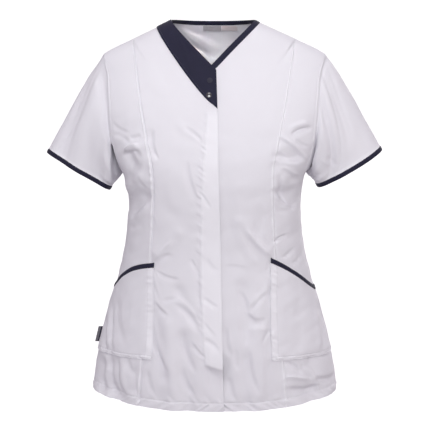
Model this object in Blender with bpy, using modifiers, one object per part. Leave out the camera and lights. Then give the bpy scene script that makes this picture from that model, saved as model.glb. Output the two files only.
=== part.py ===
"""A women's work tunic, worn but with no wearer: white cloth with dark blue trim.

Metres, +Z up, the front towards -Y and the wearer's right hand towards -X. The origin lies between the
shoulders, level with the middle of the shoulder seams, where the wearer carries the garment. The cloth is
cut from one smooth form: level sections give its width and depth, and row lines drawn across it give the
neckline, the armholes, the pocket mouths and the hem. Every piece is a wall made from points of that form.
"""
import math
from collections import namedtuple

import bmesh
import bpy
import numpy as np
from mathutils import Matrix, Vector

# Driving dimensions, in metres. Drops are measured down from the neck points, which lie NECK_POINT_Z up
NECK_POINT_Z = 0.030
CLOTH_WALL = 0.0012
PLY_GAP = 0.0003
SEAM_GAP = 0.0003
HALF_GAP = SEAM_GAP / 2
BINDING_WIDTH = 0.0095
BINDING_PROUD = 0.0004
UNDERLAP = 0.024
UNDERLAP_SINK = 0.0030
UNDERLAP_RISE = (0.004, 0.034)
FRONT_EDGE_TOP = 0.009
FRONT_EDGE_HEM = 0.023
NECK_LEAN = -0.004
NECK_LEAN_END = 0.20
NECK_LEAN_SIDE = 0.18
FOLDS_END_AT = 0.35
HEM_DROP = 0.692

CUFF_CENTRES = {-1: (-0.2505, -0.004, -0.243), 1: (0.2485, -0.004, -0.2385)}
CUFF_FRONT_RISE = {-1: 0.0065, 1: 0.0}
CUFF_HALF_WIDTH = 0.068
CUFF_HALF_DEPTH = 0.045
SLEEVE_TILT = math.radians(30.5)
SHOULDER_LIFT = math.radians(7)
UNDERARM_LIFT = math.radians(9)
FOLD_FADE = 0.20
LEAST_MITRE = 0.5
LEAST_CROSSING = 0.2
CROSSING_REACH = 0.001

STUD_RADIUS = 0.0052
STUD_HEIGHT = 0.0018
STUD_SIDES = 20
STUD_MERGE = 0.00001
Stud = namedtuple("Stud", "name x drop")
STUDS = (
    Stud("stud_upper", -0.0025, 0.104),
    Stud("stud_lower", -0.0045, 0.129),
)

# A stud's cap from its crown to its foot, as shares of its radius and height
ProfilePoint = namedtuple("ProfilePoint", "radius height")
STUD_PROFILE = (
    ProfilePoint(0.00, 1.00),
    ProfilePoint(0.45, 0.94),
    ProfilePoint(0.75, 0.76),
    ProfilePoint(0.94, 0.42),
    ProfilePoint(1.00, 0.12),
    ProfilePoint(0.96, 0.00),
    ProfilePoint(0.00, 0.00),
)

COLUMNS_CENTRE = 7
COLUMNS_SIDE = 6
COLUMNS_BACK = 11
SLEEVE_STEPS = 8
DENSE = 400
TINY = 1e-12
MERGE = 0.00002
SHARP_FROM = math.radians(40)

COLLECTION = "work_tunic"

# Bare labels inside the back neck, and the tab of the right side seam
LABEL_WALL = 0.0010
LABEL_GAP = 0.0008
LABEL_STEPS = 4
Label = namedtuple("Label", "name material x0 x1 height")
LABELS = (
    Label("neck_label", "label_cloth", -0.0203, 0.0136, 0.0110),
    Label("size_label", "size_cloth", 0.0147, 0.0437, 0.0100),
)
TAB_DROP = 0.571
TAB_LENGTH = 0.029
TAB_WIDTH = 0.0098
TAB_SET_BACK = 0.0006

# Level sections of the worn form, by their drop below the neck points
Section = namedtuple("Section", "drop half_width front_depth back_depth front_square back_square")
SECTIONS = (
    Section(-0.030, 0.040, 0.036, 0.048, 2.0, 2.0),
    Section(0.000, 0.076, 0.047, 0.061, 2.0, 2.0),
    Section(0.013, 0.103, 0.052, 0.067, 2.1, 2.1),
    Section(0.033, 0.146, 0.059, 0.077, 2.2, 2.2),
    Section(0.060, 0.200, 0.067, 0.089, 2.2, 2.2),
    Section(0.080, 0.217, 0.075, 0.096, 2.2, 2.2),
    Section(0.110, 0.226, 0.089, 0.105, 2.3, 2.2),
    Section(0.150, 0.223, 0.107, 0.113, 2.4, 2.3),
    Section(0.200, 0.206, 0.123, 0.117, 2.6, 2.3),
    Section(0.245, 0.183, 0.133, 0.113, 2.8, 2.4),
    Section(0.279, 0.167, 0.136, 0.108, 2.8, 2.4),
    Section(0.320, 0.160, 0.133, 0.101, 2.7, 2.4),
    Section(0.370, 0.160, 0.127, 0.095, 2.6, 2.3),
    Section(0.420, 0.167, 0.125, 0.097, 2.4, 2.3),
    Section(0.470, 0.179, 0.129, 0.107, 2.3, 2.2),
    Section(0.530, 0.197, 0.137, 0.121, 2.2, 2.2),
    Section(0.600, 0.215, 0.145, 0.134, 2.2, 2.2),
    Section(0.650, 0.225, 0.149, 0.140, 2.2, 2.2),
    Section(0.700, 0.229, 0.151, 0.143, 2.2, 2.2),
)

# Row lines across the panels. Drops are below the neck points, at the centre and at the side; the curve says
# how late a row turns up to its side end; front_edge and back_edge say how far forward and back of the side
# line the armhole edge lies
Row = namedtuple("Row", "name front back side front_curve back_curve front_edge back_edge steps")
ROWS = (
    Row("neckline", 0.076, 0.004, 0.000, 1.00, 2.6, 0.000, 0.000, 1),
    Row("binding edge", 0.0894, 0.0120, 0.0045, 1.03, 2.5, 0.000, 0.000, 3),
    Row("lapel edge", 0.143, 0.032, 0.013, 1.17, 2.3, 0.000, 0.000, 2),
    Row("panel top", 0.172, 0.060, 0.033, 1.35, 2.1, 0.000, 0.000, 1),
    Row("princess top", 0.1735, 0.0615, 0.0348, 1.36, 2.1, 0.000, 0.000, 1),
    Row("yoke", 0.181, 0.071, 0.0400, 1.40, 2.1, 0.000, 0.000, 3),
    Row("shoulder point", 0.212, 0.105, 0.060, 1.60, 2.0, 0.000, 0.000, 1),
    Row("armhole cap", 0.215, 0.110, 0.064, 1.62, 2.0, 0.016, 0.018, 1),
    Row("armhole top", 0.220, 0.119, 0.074, 1.65, 2.0, 0.031, 0.034, 2),
    Row("armhole upper", 0.232, 0.140, 0.102, 1.70, 2.0, 0.051, 0.050, 2),
    Row("armhole middle", 0.248, 0.172, 0.152, 1.80, 2.0, 0.069, 0.060, 2),
    Row("armhole lower", 0.263, 0.208, 0.202, 1.90, 2.0, 0.073, 0.059, 2),
    Row("armhole curve", 0.277, 0.243, 0.246, 2.00, 2.0, 0.060, 0.046, 1),
    Row("armhole foot", 0.286, 0.264, 0.270, 2.00, 2.0, 0.034, 0.025, 1),
    Row("armpit", 0.293, 0.279, 0.279, 2.00, 2.0, 0.000, 0.000, 4),
    Row("waist", 0.370, 0.370, 0.370, 2.20, 2.0, 0.000, 0.000, 3),
    Row("pocket mouth", 0.427, 0.466, 0.486, 5.60, 2.0, 0.000, 0.000, 1),
    Row("pocket binding", 0.4360, 0.476, 0.4955, 5.60, 2.0, 0.000, 0.000, 5),
    Row("pocket foot", 0.601, 0.604, 0.608, 3.00, 2.0, 0.000, 0.000, 3),
    Row("hem", HEM_DROP, 0.684, 0.682, 2.00, 2.0, 0.000, 0.000, 0),
)

# The wearer's left pocket mouth slants more steeply and evenly than the right one
Mouth = namedtuple("Mouth", "front front_curve")
LEFT_MOUTH = {"pocket mouth": Mouth(0.398, 2.6), "pocket binding": Mouth(0.408, 2.6)}

# Front-view distance from the centre line to the princess seam, and how far in from it, along the cloth, the
# pocket's inner edge lies
Guide = namedtuple("Guide", "drop princess pocket_inset")
GUIDES = (
    Guide(-0.010, 0.150, 0.012),
    Guide(0.033, 0.146, 0.013),
    Guide(0.080, 0.139, 0.013),
    Guide(0.140, 0.130, 0.013),
    Guide(0.200, 0.119, 0.012),
    Guide(0.260, 0.109, 0.011),
    Guide(0.330, 0.108, 0.011),
    Guide(0.424, 0.113, 0.010),
    Guide(0.520, 0.118, 0.014),
    Guide(0.600, 0.127, 0.020),
    Guide(0.700, 0.136, 0.022),
)

# The largest folds, as soft ridges and troughs along lines drawn in the front view
Fold = namedtuple("Fold", "face x0 drop0 x1 drop1 spread height")
FOLDS = (
    Fold("front", -0.140, 0.228, -0.118, 0.216, 0.010, 0.0035),
    Fold("front", -0.146, 0.252, -0.122, 0.262, 0.012, -0.0040),
    Fold("front", -0.142, 0.318, -0.120, 0.296, 0.013, -0.0035),
    Fold("front", 0.148, 0.250, 0.122, 0.226, 0.011, 0.0035),
    Fold("front", 0.146, 0.276, 0.120, 0.252, 0.012, -0.0040),
    Fold("front", 0.146, 0.300, 0.124, 0.322, 0.013, -0.0035),
    Fold("front", -0.100, 0.410, -0.062, 0.372, 0.011, 0.0030),
    Fold("front", 0.100, 0.402, 0.052, 0.352, 0.012, 0.0035),
    Fold("front", -0.103, 0.520, -0.086, 0.630, 0.012, -0.0045),
    Fold("front", -0.078, 0.540, -0.070, 0.690, 0.014, 0.0040),
    Fold("front", -0.048, 0.560, -0.040, 0.690, 0.013, -0.0045),
    Fold("front", -0.060, 0.478, -0.034, 0.520, 0.011, -0.0035),
    Fold("front", 0.056, 0.470, 0.066, 0.560, 0.013, -0.0045),
    Fold("front", 0.084, 0.500, 0.080, 0.690, 0.015, 0.0040),
    Fold("front", 0.058, 0.600, 0.064, 0.700, 0.012, -0.0035),
    Fold("front", -0.190, 0.600, -0.176, 0.700, 0.012, -0.0050),
    Fold("front", 0.178, 0.610, 0.186, 0.700, 0.013, -0.0050),
    Fold("back", -0.110, 0.200, -0.060, 0.150, 0.018, 0.0035),
    Fold("back", 0.115, 0.205, 0.062, 0.160, 0.018, 0.0035),
    Fold("back", -0.120, 0.400, 0.010, 0.385, 0.013, -0.0040),
    Fold("back", -0.020, 0.420, 0.125, 0.405, 0.013, -0.0040),
    Fold("back", -0.140, 0.470, -0.150, 0.700, 0.018, -0.0060),
    Fold("back", -0.085, 0.500, -0.090, 0.700, 0.018, 0.0055),
    Fold("back", -0.030, 0.480, -0.028, 0.700, 0.017, -0.0055),
    Fold("back", 0.030, 0.520, 0.034, 0.700, 0.018, 0.0050),
    Fold("back", 0.088, 0.470, 0.096, 0.700, 0.018, -0.0060),
    Fold("back", 0.146, 0.500, 0.156, 0.700, 0.018, 0.0050),
)

# Folds of a sleeve, by their turn round it from the shoulder (0.25 is its front) and share of its length
SleeveFold = namedtuple("SleeveFold", "side turn0 along0 turn1 along1 spread height")
SLEEVE_FOLDS = (
    SleeveFold(1, 0.10, 0.10, 0.12, 0.95, 0.030, -0.0045),
    SleeveFold(1, 0.17, 0.15, 0.20, 1.00, 0.034, 0.0035),
    SleeveFold(1, 0.27, 0.30, 0.26, 0.85, 0.028, -0.0035),
    SleeveFold(1, 0.33, 0.10, 0.34, 0.90, 0.032, 0.0050),
    SleeveFold(1, 0.405, 0.00, 0.43, 0.60, 0.045, -0.0120),
    SleeveFold(1, 0.70, 0.20, 0.72, 0.95, 0.040, -0.0045),
    SleeveFold(1, 0.84, 0.20, 0.86, 0.95, 0.036, 0.0035),
    SleeveFold(-1, 0.08, 0.12, 0.10, 0.95, 0.030, -0.0040),
    SleeveFold(-1, 0.16, 0.20, 0.18, 1.00, 0.034, 0.0035),
    SleeveFold(-1, 0.26, 0.25, 0.27, 0.90, 0.028, -0.0030),
    SleeveFold(-1, 0.33, 0.10, 0.35, 0.90, 0.032, 0.0050),
    SleeveFold(-1, 0.405, 0.00, 0.43, 0.70, 0.048, -0.0140),
    SleeveFold(-1, 0.68, 0.20, 0.72, 0.95, 0.040, -0.0045),
    SleeveFold(-1, 0.86, 0.15, 0.84, 0.95, 0.036, 0.0035),
)

Finish = namedtuple("Finish", "colour roughness metallic")
FINISHES = {
    "white_cloth": Finish((0.83, 0.82, 0.86, 1), 0.85, 0.0),
    "navy_cloth": Finish((0.030, 0.028, 0.060, 1), 0.80, 0.0),
    "label_cloth": Finish((0.42, 0.42, 0.46, 1), 0.70, 0.0),
    "size_cloth": Finish((0.62, 0.60, 0.56, 1), 0.70, 0.0),
    "stud_enamel": Finish((0.035, 0.035, 0.065, 1), 0.30, 0.6),
}


def remove_scene_objects():
    for obj in list(bpy.data.objects):
        bpy.data.objects.remove(obj, do_unlink=True)


def finish_material(name):
    """The named finish as a Principled BSDF, made once and shared."""
    material = bpy.data.materials.get(name)
    if material:
        return material
    finish = FINISHES[name]
    material = bpy.data.materials.new(name)
    material.use_nodes = True
    material.diffuse_color = finish.colour
    shader = material.node_tree.nodes["Principled BSDF"]
    shader.inputs["Base Color"].default_value = finish.colour
    shader.inputs["Roughness"].default_value = finish.roughness
    shader.inputs["Metallic"].default_value = finish.metallic
    return material


def curve_through(knots, values, at):
    """A smooth curve through (knots, values), read at the given places."""
    knots, values, at = (np.asarray(a, float) for a in (knots, values, at))
    slopes = np.gradient(values, knots)
    k = np.clip(np.searchsorted(knots, at, side="right") - 1, 0, len(knots) - 2)
    span = knots[k + 1] - knots[k]
    t = (at - knots[k]) / span
    return (
        (2 * t**3 - 3 * t**2 + 1) * values[k]
        + (t**3 - 2 * t**2 + t) * span * slopes[k]
        + (3 * t**2 - 2 * t**3) * values[k + 1]
        + (t**3 - t**2) * span * slopes[k + 1]
    )


def column_of(table, field, at, key="drop"):
    """One column of a table, read as a smooth curve over its key column."""
    return curve_through([getattr(r, key) for r in table], [getattr(r, field) for r in table], at)


def smooth_step(x):
    x = np.clip(x, 0.0, 1.0)
    return x * x * (3 - 2 * x)


def lean_at(x, drop):
    """How far the neck stands off centre, fading out down the chest and along the shoulders."""
    return NECK_LEAN * (1 - smooth_step(drop / NECK_LEAN_END)) * (1 - smooth_step(np.abs(x) / NECK_LEAN_SIDE))


def line_bump(px, py, x0, y0, x1, y1, spread):
    """1 on the line from (x0, y0) to (x1, y1), and falling softly to 0 round it."""
    dx, dy = x1 - x0, y1 - y0
    along = np.clip(((px - x0) * dx + (py - y0) * dy) / (dx * dx + dy * dy), 0, 1)
    away = np.hypot(px - x0 - along * dx, py - y0 - along * dy)
    return np.exp(-((away / spread) ** 2))


def form_points(x, drop, face):
    """Points of the worn form, folds included, seen from the front at x and drop."""
    sign = -1.0 if face == "front" else 1.0
    half = column_of(SECTIONS, "half_width", drop)
    depth = column_of(SECTIONS, f"{face}_depth", drop)
    square = column_of(SECTIONS, f"{face}_square", drop)
    share = np.clip(np.abs(x) / half, 0, 1)
    out = (1 - share**square) ** (1 / square)
    lift = sum(
        f.height * line_bump(x, drop, f.x0, f.drop0, f.x1, f.drop1, f.spread)
        for f in FOLDS
        if f.face == face
    )
    normal_x = np.sign(x) * share ** (square - 1) / half
    normal_y = sign * out ** (square - 1) / depth
    lift = lift * smooth_step(out / FOLDS_END_AT) / np.hypot(normal_x, normal_y)
    return np.stack(
        [x + lean_at(x, drop) + lift * normal_x, sign * depth * out + lift * normal_y, NECK_POINT_Z - drop],
        axis=-1,
    )


def rows_of(side):
    """The table of rows on one side of the garment."""
    if side < 0:
        return ROWS
    return [r._replace(**LEFT_MOUTH[r.name]._asdict()) if r.name in LEFT_MOUTH else r for r in ROWS]


def row_at(position, side=-1):
    """The row line at a position between the table's rows, whole numbers being the rows themselves."""
    rows = rows_of(side)
    places = np.arange(len(rows))
    return {
        field: float(curve_through(places, [getattr(r, field) for r in rows], position))
        for field in Row._fields
        if field not in ("name", "steps")
    }


def row_index(name):
    return [r.name for r in ROWS].index(name)


def row_positions(first, last):
    """Where rows run between two named rows, with each table row's own number of steps."""
    a, b = row_index(first), row_index(last)
    found = [a + 0.0]
    for i in range(a, b):
        found += [i + (k + 1) / ROWS[i].steps for k in range(ROWS[i].steps)]
    return found


def front_edge_x(drop):
    """Where the right front's free edge lies, past the centre line."""
    share = np.clip((drop - ROWS[0].front) / (HEM_DROP - ROWS[0].front), 0, 1)
    return FRONT_EDGE_TOP + (FRONT_EDGE_HEM - FRONT_EDGE_TOP) * share


Line = namedtuple("Line", "points x drop lengths")


def dense_line(position, face, start, side):
    """A row line as many points, from start (its x at the centre, past it if negative) to its side end.

    side is -1 on the wearer's right and 1 on the left, and x is measured from the centre towards it."""
    row = row_at(position, side)
    centre, curve, edge = row[face], row[f"{face}_curve"], max(row[f"{face}_edge"], 0.0)
    half = float(column_of(SECTIONS, "half_width", row["side"]))
    depth = float(column_of(SECTIONS, f"{face}_depth", row["side"]))
    square = float(column_of(SECTIONS, f"{face}_square", row["side"]))
    end = half * (1 - (edge / depth) ** square) ** (1 / square)
    x = start + (end - start) * np.sin(np.linspace(0, math.pi / 2, DENSE))
    turn = np.sign(x) * np.abs(x / end) ** curve
    drop = row["side"] + (centre - row["side"]) * (1 - turn)
    points = form_points(side * x, drop, face)
    steps = np.linalg.norm(np.diff(points, axis=0), axis=1)
    return Line(points, x, drop, np.concatenate([[0.0], np.cumsum(steps)]))


def points_on(line, wanted):
    """Points of a row line at the wanted lengths along it."""
    return np.stack([np.interp(wanted, line.lengths, line.points[:, k]) for k in range(3)], axis=-1)


def crossing_sine(line, seam, drop):
    """Sine of the angle between a row line and the princess seam where they cross, in the front view."""
    near = seam + np.array([-CROSSING_REACH, CROSSING_REACH])
    row = np.array([np.ptp(np.interp(near, line.lengths, f)) * s for f, s in ((line.x, 1), (line.drop, -1))])
    down = np.array([column_of(GUIDES, "princess", drop + d) for d in (-CROSSING_REACH, CROSSING_REACH)])
    run = np.array([down[1] - down[0], 2 * CROSSING_REACH])
    return max(abs(row[0] * run[1] - row[1] * run[0]) / np.hypot(*row) / np.hypot(*run), LEAST_CROSSING)


Lattice = namedtuple("Lattice", "positions points normals edge")


def lattice_normals(points, first_tangent, last_tangent, outward):
    """Normals of a grid whose rows go down, with the row directions at its two side edges given if known."""
    down = np.gradient(points, axis=0)
    across = np.gradient(points, axis=1)
    if first_tangent is not None:
        across[:, 0] = first_tangent
    across[:, -1] = last_tangent
    normals = np.cross(down, across) * outward
    return normals / np.maximum(np.linalg.norm(normals, axis=2, keepdims=True), TINY)


def front_lattice(side, start_of_row):
    """Lattice of one front, from the neckline to the hem and from its free edge to its side.

    The centre panel has its first COLUMNS_CENTRE + 2 columns, and the side panel the rest."""
    positions = row_positions("neckline", "hem")
    points, edge, tangents = [], [], []
    for position in positions:
        line = dense_line(position, "front", start_of_row(row_at(position, side)["front"]), side)
        total = line.lengths[-1]
        seam = total
        if position > row_index("panel top"):
            seam = float(np.interp(0, line.x - column_of(GUIDES, "princess", line.drop), line.lengths))
        seam_drop = float(np.interp(seam, line.lengths, line.drop))
        half = HALF_GAP / crossing_sine(line, seam, seam_drop) if seam < total else HALF_GAP
        inner = seam - float(column_of(GUIDES, "pocket_inset", seam_drop))
        centre = np.append(np.linspace(0, inner, COLUMNS_CENTRE + 1), seam - half)
        aside = np.linspace(min(seam + half, total - HALF_GAP), total - HALF_GAP, COLUMNS_SIDE + 1)
        points.append(points_on(line, np.concatenate([centre, aside])))
        edge.append(line.points[-1])
        tangents.append(line.points[-1] - line.points[-4])
    points = np.array(points)
    seam_twin = COLUMNS_CENTRE + 2
    normals = lattice_normals(np.delete(points, seam_twin, axis=1), None, np.array(tangents), side)
    normals = np.insert(normals, seam_twin, normals[:, seam_twin - 1], axis=1)
    shoulder = [i for i, position in enumerate(positions) if position <= row_index("panel top")]
    normals[shoulder, seam_twin - 1 :] = normals[shoulder, -1:]
    return Lattice(positions, points, normals, np.array(edge))


def back_lattice():
    """Lattice of the whole back, from the wearer's right to the left; its edges are given by side."""
    positions = row_positions("neckline", "hem")
    points, tangents, edges = {}, {}, {}
    for side in (-1, 1):
        lines = [dense_line(position, "back", 0.0, side) for position in positions]
        points[side] = np.array(
            [points_on(n, np.linspace(0, n.lengths[-1] - HALF_GAP, COLUMNS_BACK + 1)) for n in lines]
        )
        tangents[side] = np.array([n.points[-1] - n.points[-4] for n in lines])
        edges[side] = np.array([n.points[-1] for n in lines])
    whole = np.concatenate([points[-1][:, ::-1], points[1][:, 1:]], axis=1)
    normals = lattice_normals(whole, -tangents[-1], tangents[1], -1)
    return Lattice(positions, whole, normals, edges)


def underlap_sink(points):
    """How far the left front lies below the form, under and beside the right front's free edge."""
    drop = NECK_POINT_Z - points[..., 2]
    past = points[..., 0] - lean_at(0.0, drop) - front_edge_x(drop)
    first, last = UNDERLAP_RISE
    return (UNDERLAP_SINK * (1 - smooth_step((past - first) / (last - first))))[..., None]


def unit(vectors):
    return vectors / np.linalg.norm(vectors, axis=-1, keepdims=True)


Sleeve = namedtuple("Sleeve", "points normals")


def fit_sleeve(side, front, back):
    """The sleeve's grid, its rings running round from the shoulder by the front, and its armhole joined.

    At the armhole the panels and the sleeve share wall directions, and each edge moves half the seam gap."""
    first, last = row_index("shoulder point"), row_index("armpit")
    rows = [i for i, position in enumerate(front.positions) if first <= position <= last]
    turns_back = rows[::-1][1:-1]
    back_column = -1 if side > 0 else 0
    ring = np.concatenate([front.edge[rows], back.edge[side][turns_back]])
    panel = np.concatenate([front.normals[rows, -1], back.normals[turns_back, back_column]])
    panel[0] = unit(front.normals[rows[0], -1] + back.normals[rows[0], back_column])
    panel[len(rows) - 1] = unit(front.normals[rows[-1], -1] + back.normals[rows[-1], back_column])

    spans = np.linalg.norm(np.roll(ring, -1, axis=0) - ring, axis=1)
    run = np.concatenate([[0], np.cumsum(spans)])
    front_run = run[len(rows) - 1]
    turn = np.where(run < front_run, run / front_run / 2, 0.5 + (run - front_run) / (run[-1] - front_run) / 2)
    turn = turn[:-1]
    swing = np.cos(2 * math.pi * turn)
    forward = np.sin(2 * math.pi * turn)

    axis = np.array([side * math.sin(SLEEVE_TILT), 0, -math.cos(SLEEVE_TILT)])
    wide = np.array([side * math.cos(SLEEVE_TILT), 0, math.sin(SLEEVE_TILT)])
    cuff = CUFF_CENTRES[side] + wide * CUFF_HALF_WIDTH * swing[:, None]
    cuff -= axis * CUFF_FRONT_RISE[side] * forward[:, None]
    cuff[:, 1] -= CUFF_HALF_DEPTH * forward
    band = cuff - axis * BINDING_WIDTH

    leave = SLEEVE_TILT + np.where(swing > 0, SHOULDER_LIFT, UNDERARM_LIFT) * swing**2
    start = np.stack([side * np.sin(leave), np.zeros_like(leave), -np.cos(leave)], axis=-1)
    reach = np.linalg.norm(band - ring, axis=1, keepdims=True)
    rings = []
    for t in np.linspace(0, 1, SLEEVE_STEPS + 1):
        rings.append(
            (2 * t**3 - 3 * t**2 + 1) * ring
            + (t**3 - 2 * t**2 + t) * reach * start
            + (3 * t**2 - 2 * t**3) * band
            + (t**3 - t**2) * reach * axis
        )
    points = np.array(rings + [cuff])
    around = np.roll(points, -1, axis=1) - np.roll(points, 1, axis=1)
    normals = unit(np.cross(around, np.gradient(points, axis=0)) * side)

    along = np.append(np.linspace(0, 1, SLEEVE_STEPS + 1), 1.0)[:, None]
    lift = sum(sleeve_fold(fold, turn[None, :], along) for fold in SLEEVE_FOLDS if fold.side == side)
    points = points + normals * lift[..., None]

    shared = unit(panel + normals[0])
    keep = np.maximum(np.sum(shared * panel, axis=1, keepdims=True), LEAST_MITRE)
    towards = unit(np.cross(shared, around[0]) * side) * HALF_GAP
    points[0] = ring + towards
    normals[0] = shared / keep
    front.points[rows[1:-1], -1] = front.edge[rows[1:-1]]
    back.points[rows[1:-1], back_column] = back.edge[side][rows[1:-1]]
    for lattice, column, places in (
        (front, -1, range(len(rows))),
        (back, back_column, [0] + list(range(len(ring) - 1, len(rows) - 2, -1))),
    ):
        for row, place in zip(rows, places):
            lattice.points[row, column] -= towards[place]
            lattice.normals[row, column] = normals[0][place]
    return Sleeve(points, normals)


def sleeve_fold(fold, turn, along):
    """One fold of a sleeve over its grid, fading out at the armhole seam."""
    centre = fold.turn0 + (fold.turn1 - fold.turn0) * along
    away = (turn - centre + 0.5) % 1 - 0.5
    inside = smooth_step((along - fold.along0 + FOLD_FADE) / FOLD_FADE)
    inside = inside * smooth_step((fold.along1 - along + FOLD_FADE) / FOLD_FADE)
    return fold.height * np.exp(-((away / fold.spread) ** 2)) * inside * smooth_step(along / FOLD_FADE)


def pull_rows(points, first=0.0, last=0.0):
    """The grid with its first and last rows drawn in, by distances measured square to those rows."""
    points = points.copy()
    for row, neighbour, distance in ((0, 1, first), (-1, -2, last)):
        inwards = unit(points[neighbour] - points[row])
        along = unit(np.gradient(points[row], axis=0) + TINY)
        slant = np.sqrt(np.maximum(1 - np.sum(inwards * along, axis=1, keepdims=True) ** 2, LEAST_MITRE**2))
        points[row] += inwards * distance / slant
    return points


def pull_tip(points, gap):
    """The grid with its first row, a single point, drawn in until it lies gap from both side edges."""
    points = points.copy()
    first, last = unit(points[1, 0] - points[0, 0]), unit(points[1, -1] - points[0, 0])
    half_angle_sine = math.sqrt((1 - first @ last) / 2)
    points[0] += unit(first + last) * gap / half_angle_sine
    return points


def wall(name, material, points, normals, inner, outer, closed=False):
    """A closed wall between two copies of a grid, moved along its normals to inner and outer."""
    mesh_points = np.stack([points + normals * outer, points + normals * inner])
    _, rows, columns, _ = mesh_points.shape
    bm = bmesh.new()
    vertices = [[[bm.verts.new(p) for p in row] for row in layer] for layer in mesh_points]
    outside, inside = vertices
    for i in range(rows - 1):
        for j in range(columns if closed else columns - 1):
            k = (j + 1) % columns
            for layer in (outside, inside):
                bm.faces.new((layer[i][j], layer[i + 1][j], layer[i + 1][k]))
                bm.faces.new((layer[i][j], layer[i + 1][k], layer[i][k]))
    rims = [[(0, j) for j in range(columns)], [(rows - 1, j) for j in range(columns)]]
    if closed:
        rims = [rim + rim[:1] for rim in rims]
    else:
        rims += [[(i, 0) for i in range(rows)], [(i, columns - 1) for i in range(rows)]]
    for rim in rims:
        for (a, b), (c, d) in zip(rim, rim[1:]):
            bm.faces.new((outside[a][b], outside[c][d], inside[c][d], inside[a][b]))
    bmesh.ops.remove_doubles(bm, verts=bm.verts, dist=MERGE)
    bmesh.ops.recalc_face_normals(bm, faces=bm.faces)
    return finish_object(name, material, bm)


def finish_object(name, material, bm):
    """A mesh object of the given geometry in the tunic's collection."""
    mesh = bpy.data.meshes.new(name)
    bm.to_mesh(mesh)
    bm.free()
    mesh.materials.append(finish_material(material))
    obj = bpy.data.objects.new(name, mesh)
    tunic_collection().objects.link(obj)
    mesh.shade_smooth()
    mesh.set_sharp_from_angle(angle=SHARP_FROM)
    return obj


def tunic_collection():
    collection = bpy.data.collections.get(COLLECTION)
    if collection is None:
        collection = bpy.data.collections.new(COLLECTION)
        bpy.context.scene.collection.children.link(collection)
    return collection


def rows_between(lattice, first, last):
    """Indices of the lattice's rows from one named row to another."""
    return [i for i, p in enumerate(lattice.positions) if row_index(first) <= p <= row_index(last)]


def build_front(word, lattice, top):
    """Centre and side panels of one front; top names the row where the centre panel starts."""
    rows = rows_between(lattice, top, "hem")
    centre = slice(0, COLUMNS_CENTRE + 2)
    points = lattice.points[rows, centre]
    if top != "neckline":
        points = pull_rows(points, first=HALF_GAP)
    wall(f"front_{word}_centre", "white_cloth", points, lattice.normals[rows, centre], -CLOTH_WALL, 0)
    rows = rows_between(lattice, "panel top", "hem")
    aside = slice(COLUMNS_CENTRE + 2, None)
    points = pull_tip(lattice.points[rows, aside], SEAM_GAP)
    wall(f"front_{word}_side", "white_cloth", points, lattice.normals[rows, aside], -CLOTH_WALL, 0)


def build_pocket(word, lattice):
    """A patch pocket over both panels, from its inner edge to the side seam, with its bound mouth."""
    columns = [COLUMNS_CENTRE] + list(range(COLUMNS_CENTRE + 2, lattice.points.shape[1]))
    for name, material, first, last, rise in (
        (f"pocket_binding_{word}", "navy_cloth", "pocket mouth", "pocket binding", BINDING_PROUD),
        (f"pocket_{word}", "white_cloth", "pocket binding", "pocket foot", 0.0),
    ):
        rows = rows_between(lattice, first, last)
        grid = np.ix_(rows, columns)
        pull = {"last": HALF_GAP} if rise else {"first": HALF_GAP}
        points = pull_rows(lattice.points[grid], **pull)
        wall(name, material, points, lattice.normals[grid], PLY_GAP, PLY_GAP + CLOTH_WALL + rise)


def build_lapel(lattice):
    """The dark facing turned out on the right front, from the neck edge to its slanting outer edge."""
    rows = rows_between(lattice, "neckline", "lapel edge")
    columns = slice(0, COLUMNS_CENTRE + 2)
    wall(
        "lapel",
        "navy_cloth",
        lattice.points[rows, columns],
        lattice.normals[rows, columns],
        PLY_GAP,
        PLY_GAP + CLOTH_WALL,
    )


def build_neck_binding(left, back):
    """One strip round the neck edge, from the left front's underlap over the back to the right shoulder."""
    rows = rows_between(left, "neckline", "binding edge")
    front_grid = np.ix_(rows, range(COLUMNS_CENTRE + 1))
    back_grid = np.ix_(rows, range(back.points.shape[1])[::-1])
    points = np.concatenate([left.points[front_grid], back.points[back_grid]], axis=1)
    normals = np.concatenate([left.normals[front_grid], back.normals[back_grid]], axis=1)
    points = pull_rows(points, last=HALF_GAP)
    wall("neck_binding", "navy_cloth", points, normals, -CLOTH_WALL - BINDING_PROUD, BINDING_PROUD)


def build_sleeve(word, sleeve):
    """A short sleeve from the armhole to its band, and the dark binding of its cuff."""
    tube = pull_rows(sleeve.points[:-1], last=HALF_GAP)
    wall(f"sleeve_{word}", "white_cloth", tube, sleeve.normals[:-1], -CLOTH_WALL, 0, closed=True)
    band = pull_rows(sleeve.points[-2:], first=HALF_GAP)
    wall(
        f"cuff_binding_{word}",
        "navy_cloth",
        band,
        sleeve.normals[-2:],
        -CLOTH_WALL - BINDING_PROUD,
        BINDING_PROUD,
        closed=True,
    )


def patch(x, drop, face):
    """Points and outward normals of the form over a small grid of places."""
    grid_x, grid_drop = np.meshgrid(x, drop)
    points = form_points(grid_x, grid_drop, face)
    sign = 1 if face == "front" else -1
    normals = unit(np.cross(np.gradient(points, axis=0), np.gradient(points, axis=1)) * sign)
    return points, normals


def build_labels():
    """Bare labels under the back neck binding, against the inside of the back."""
    outer = -(CLOTH_WALL + LABEL_GAP)
    for label in LABELS:
        x = np.linspace(label.x0, label.x1, LABEL_STEPS + 1)
        top = row_at(row_index("binding edge"))["back"] + PLY_GAP
        points, normals = patch(x, np.linspace(top, top + label.height, LABEL_STEPS), "back")
        wall(label.name, label.material, points, normals, outer - LABEL_WALL, outer)


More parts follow.
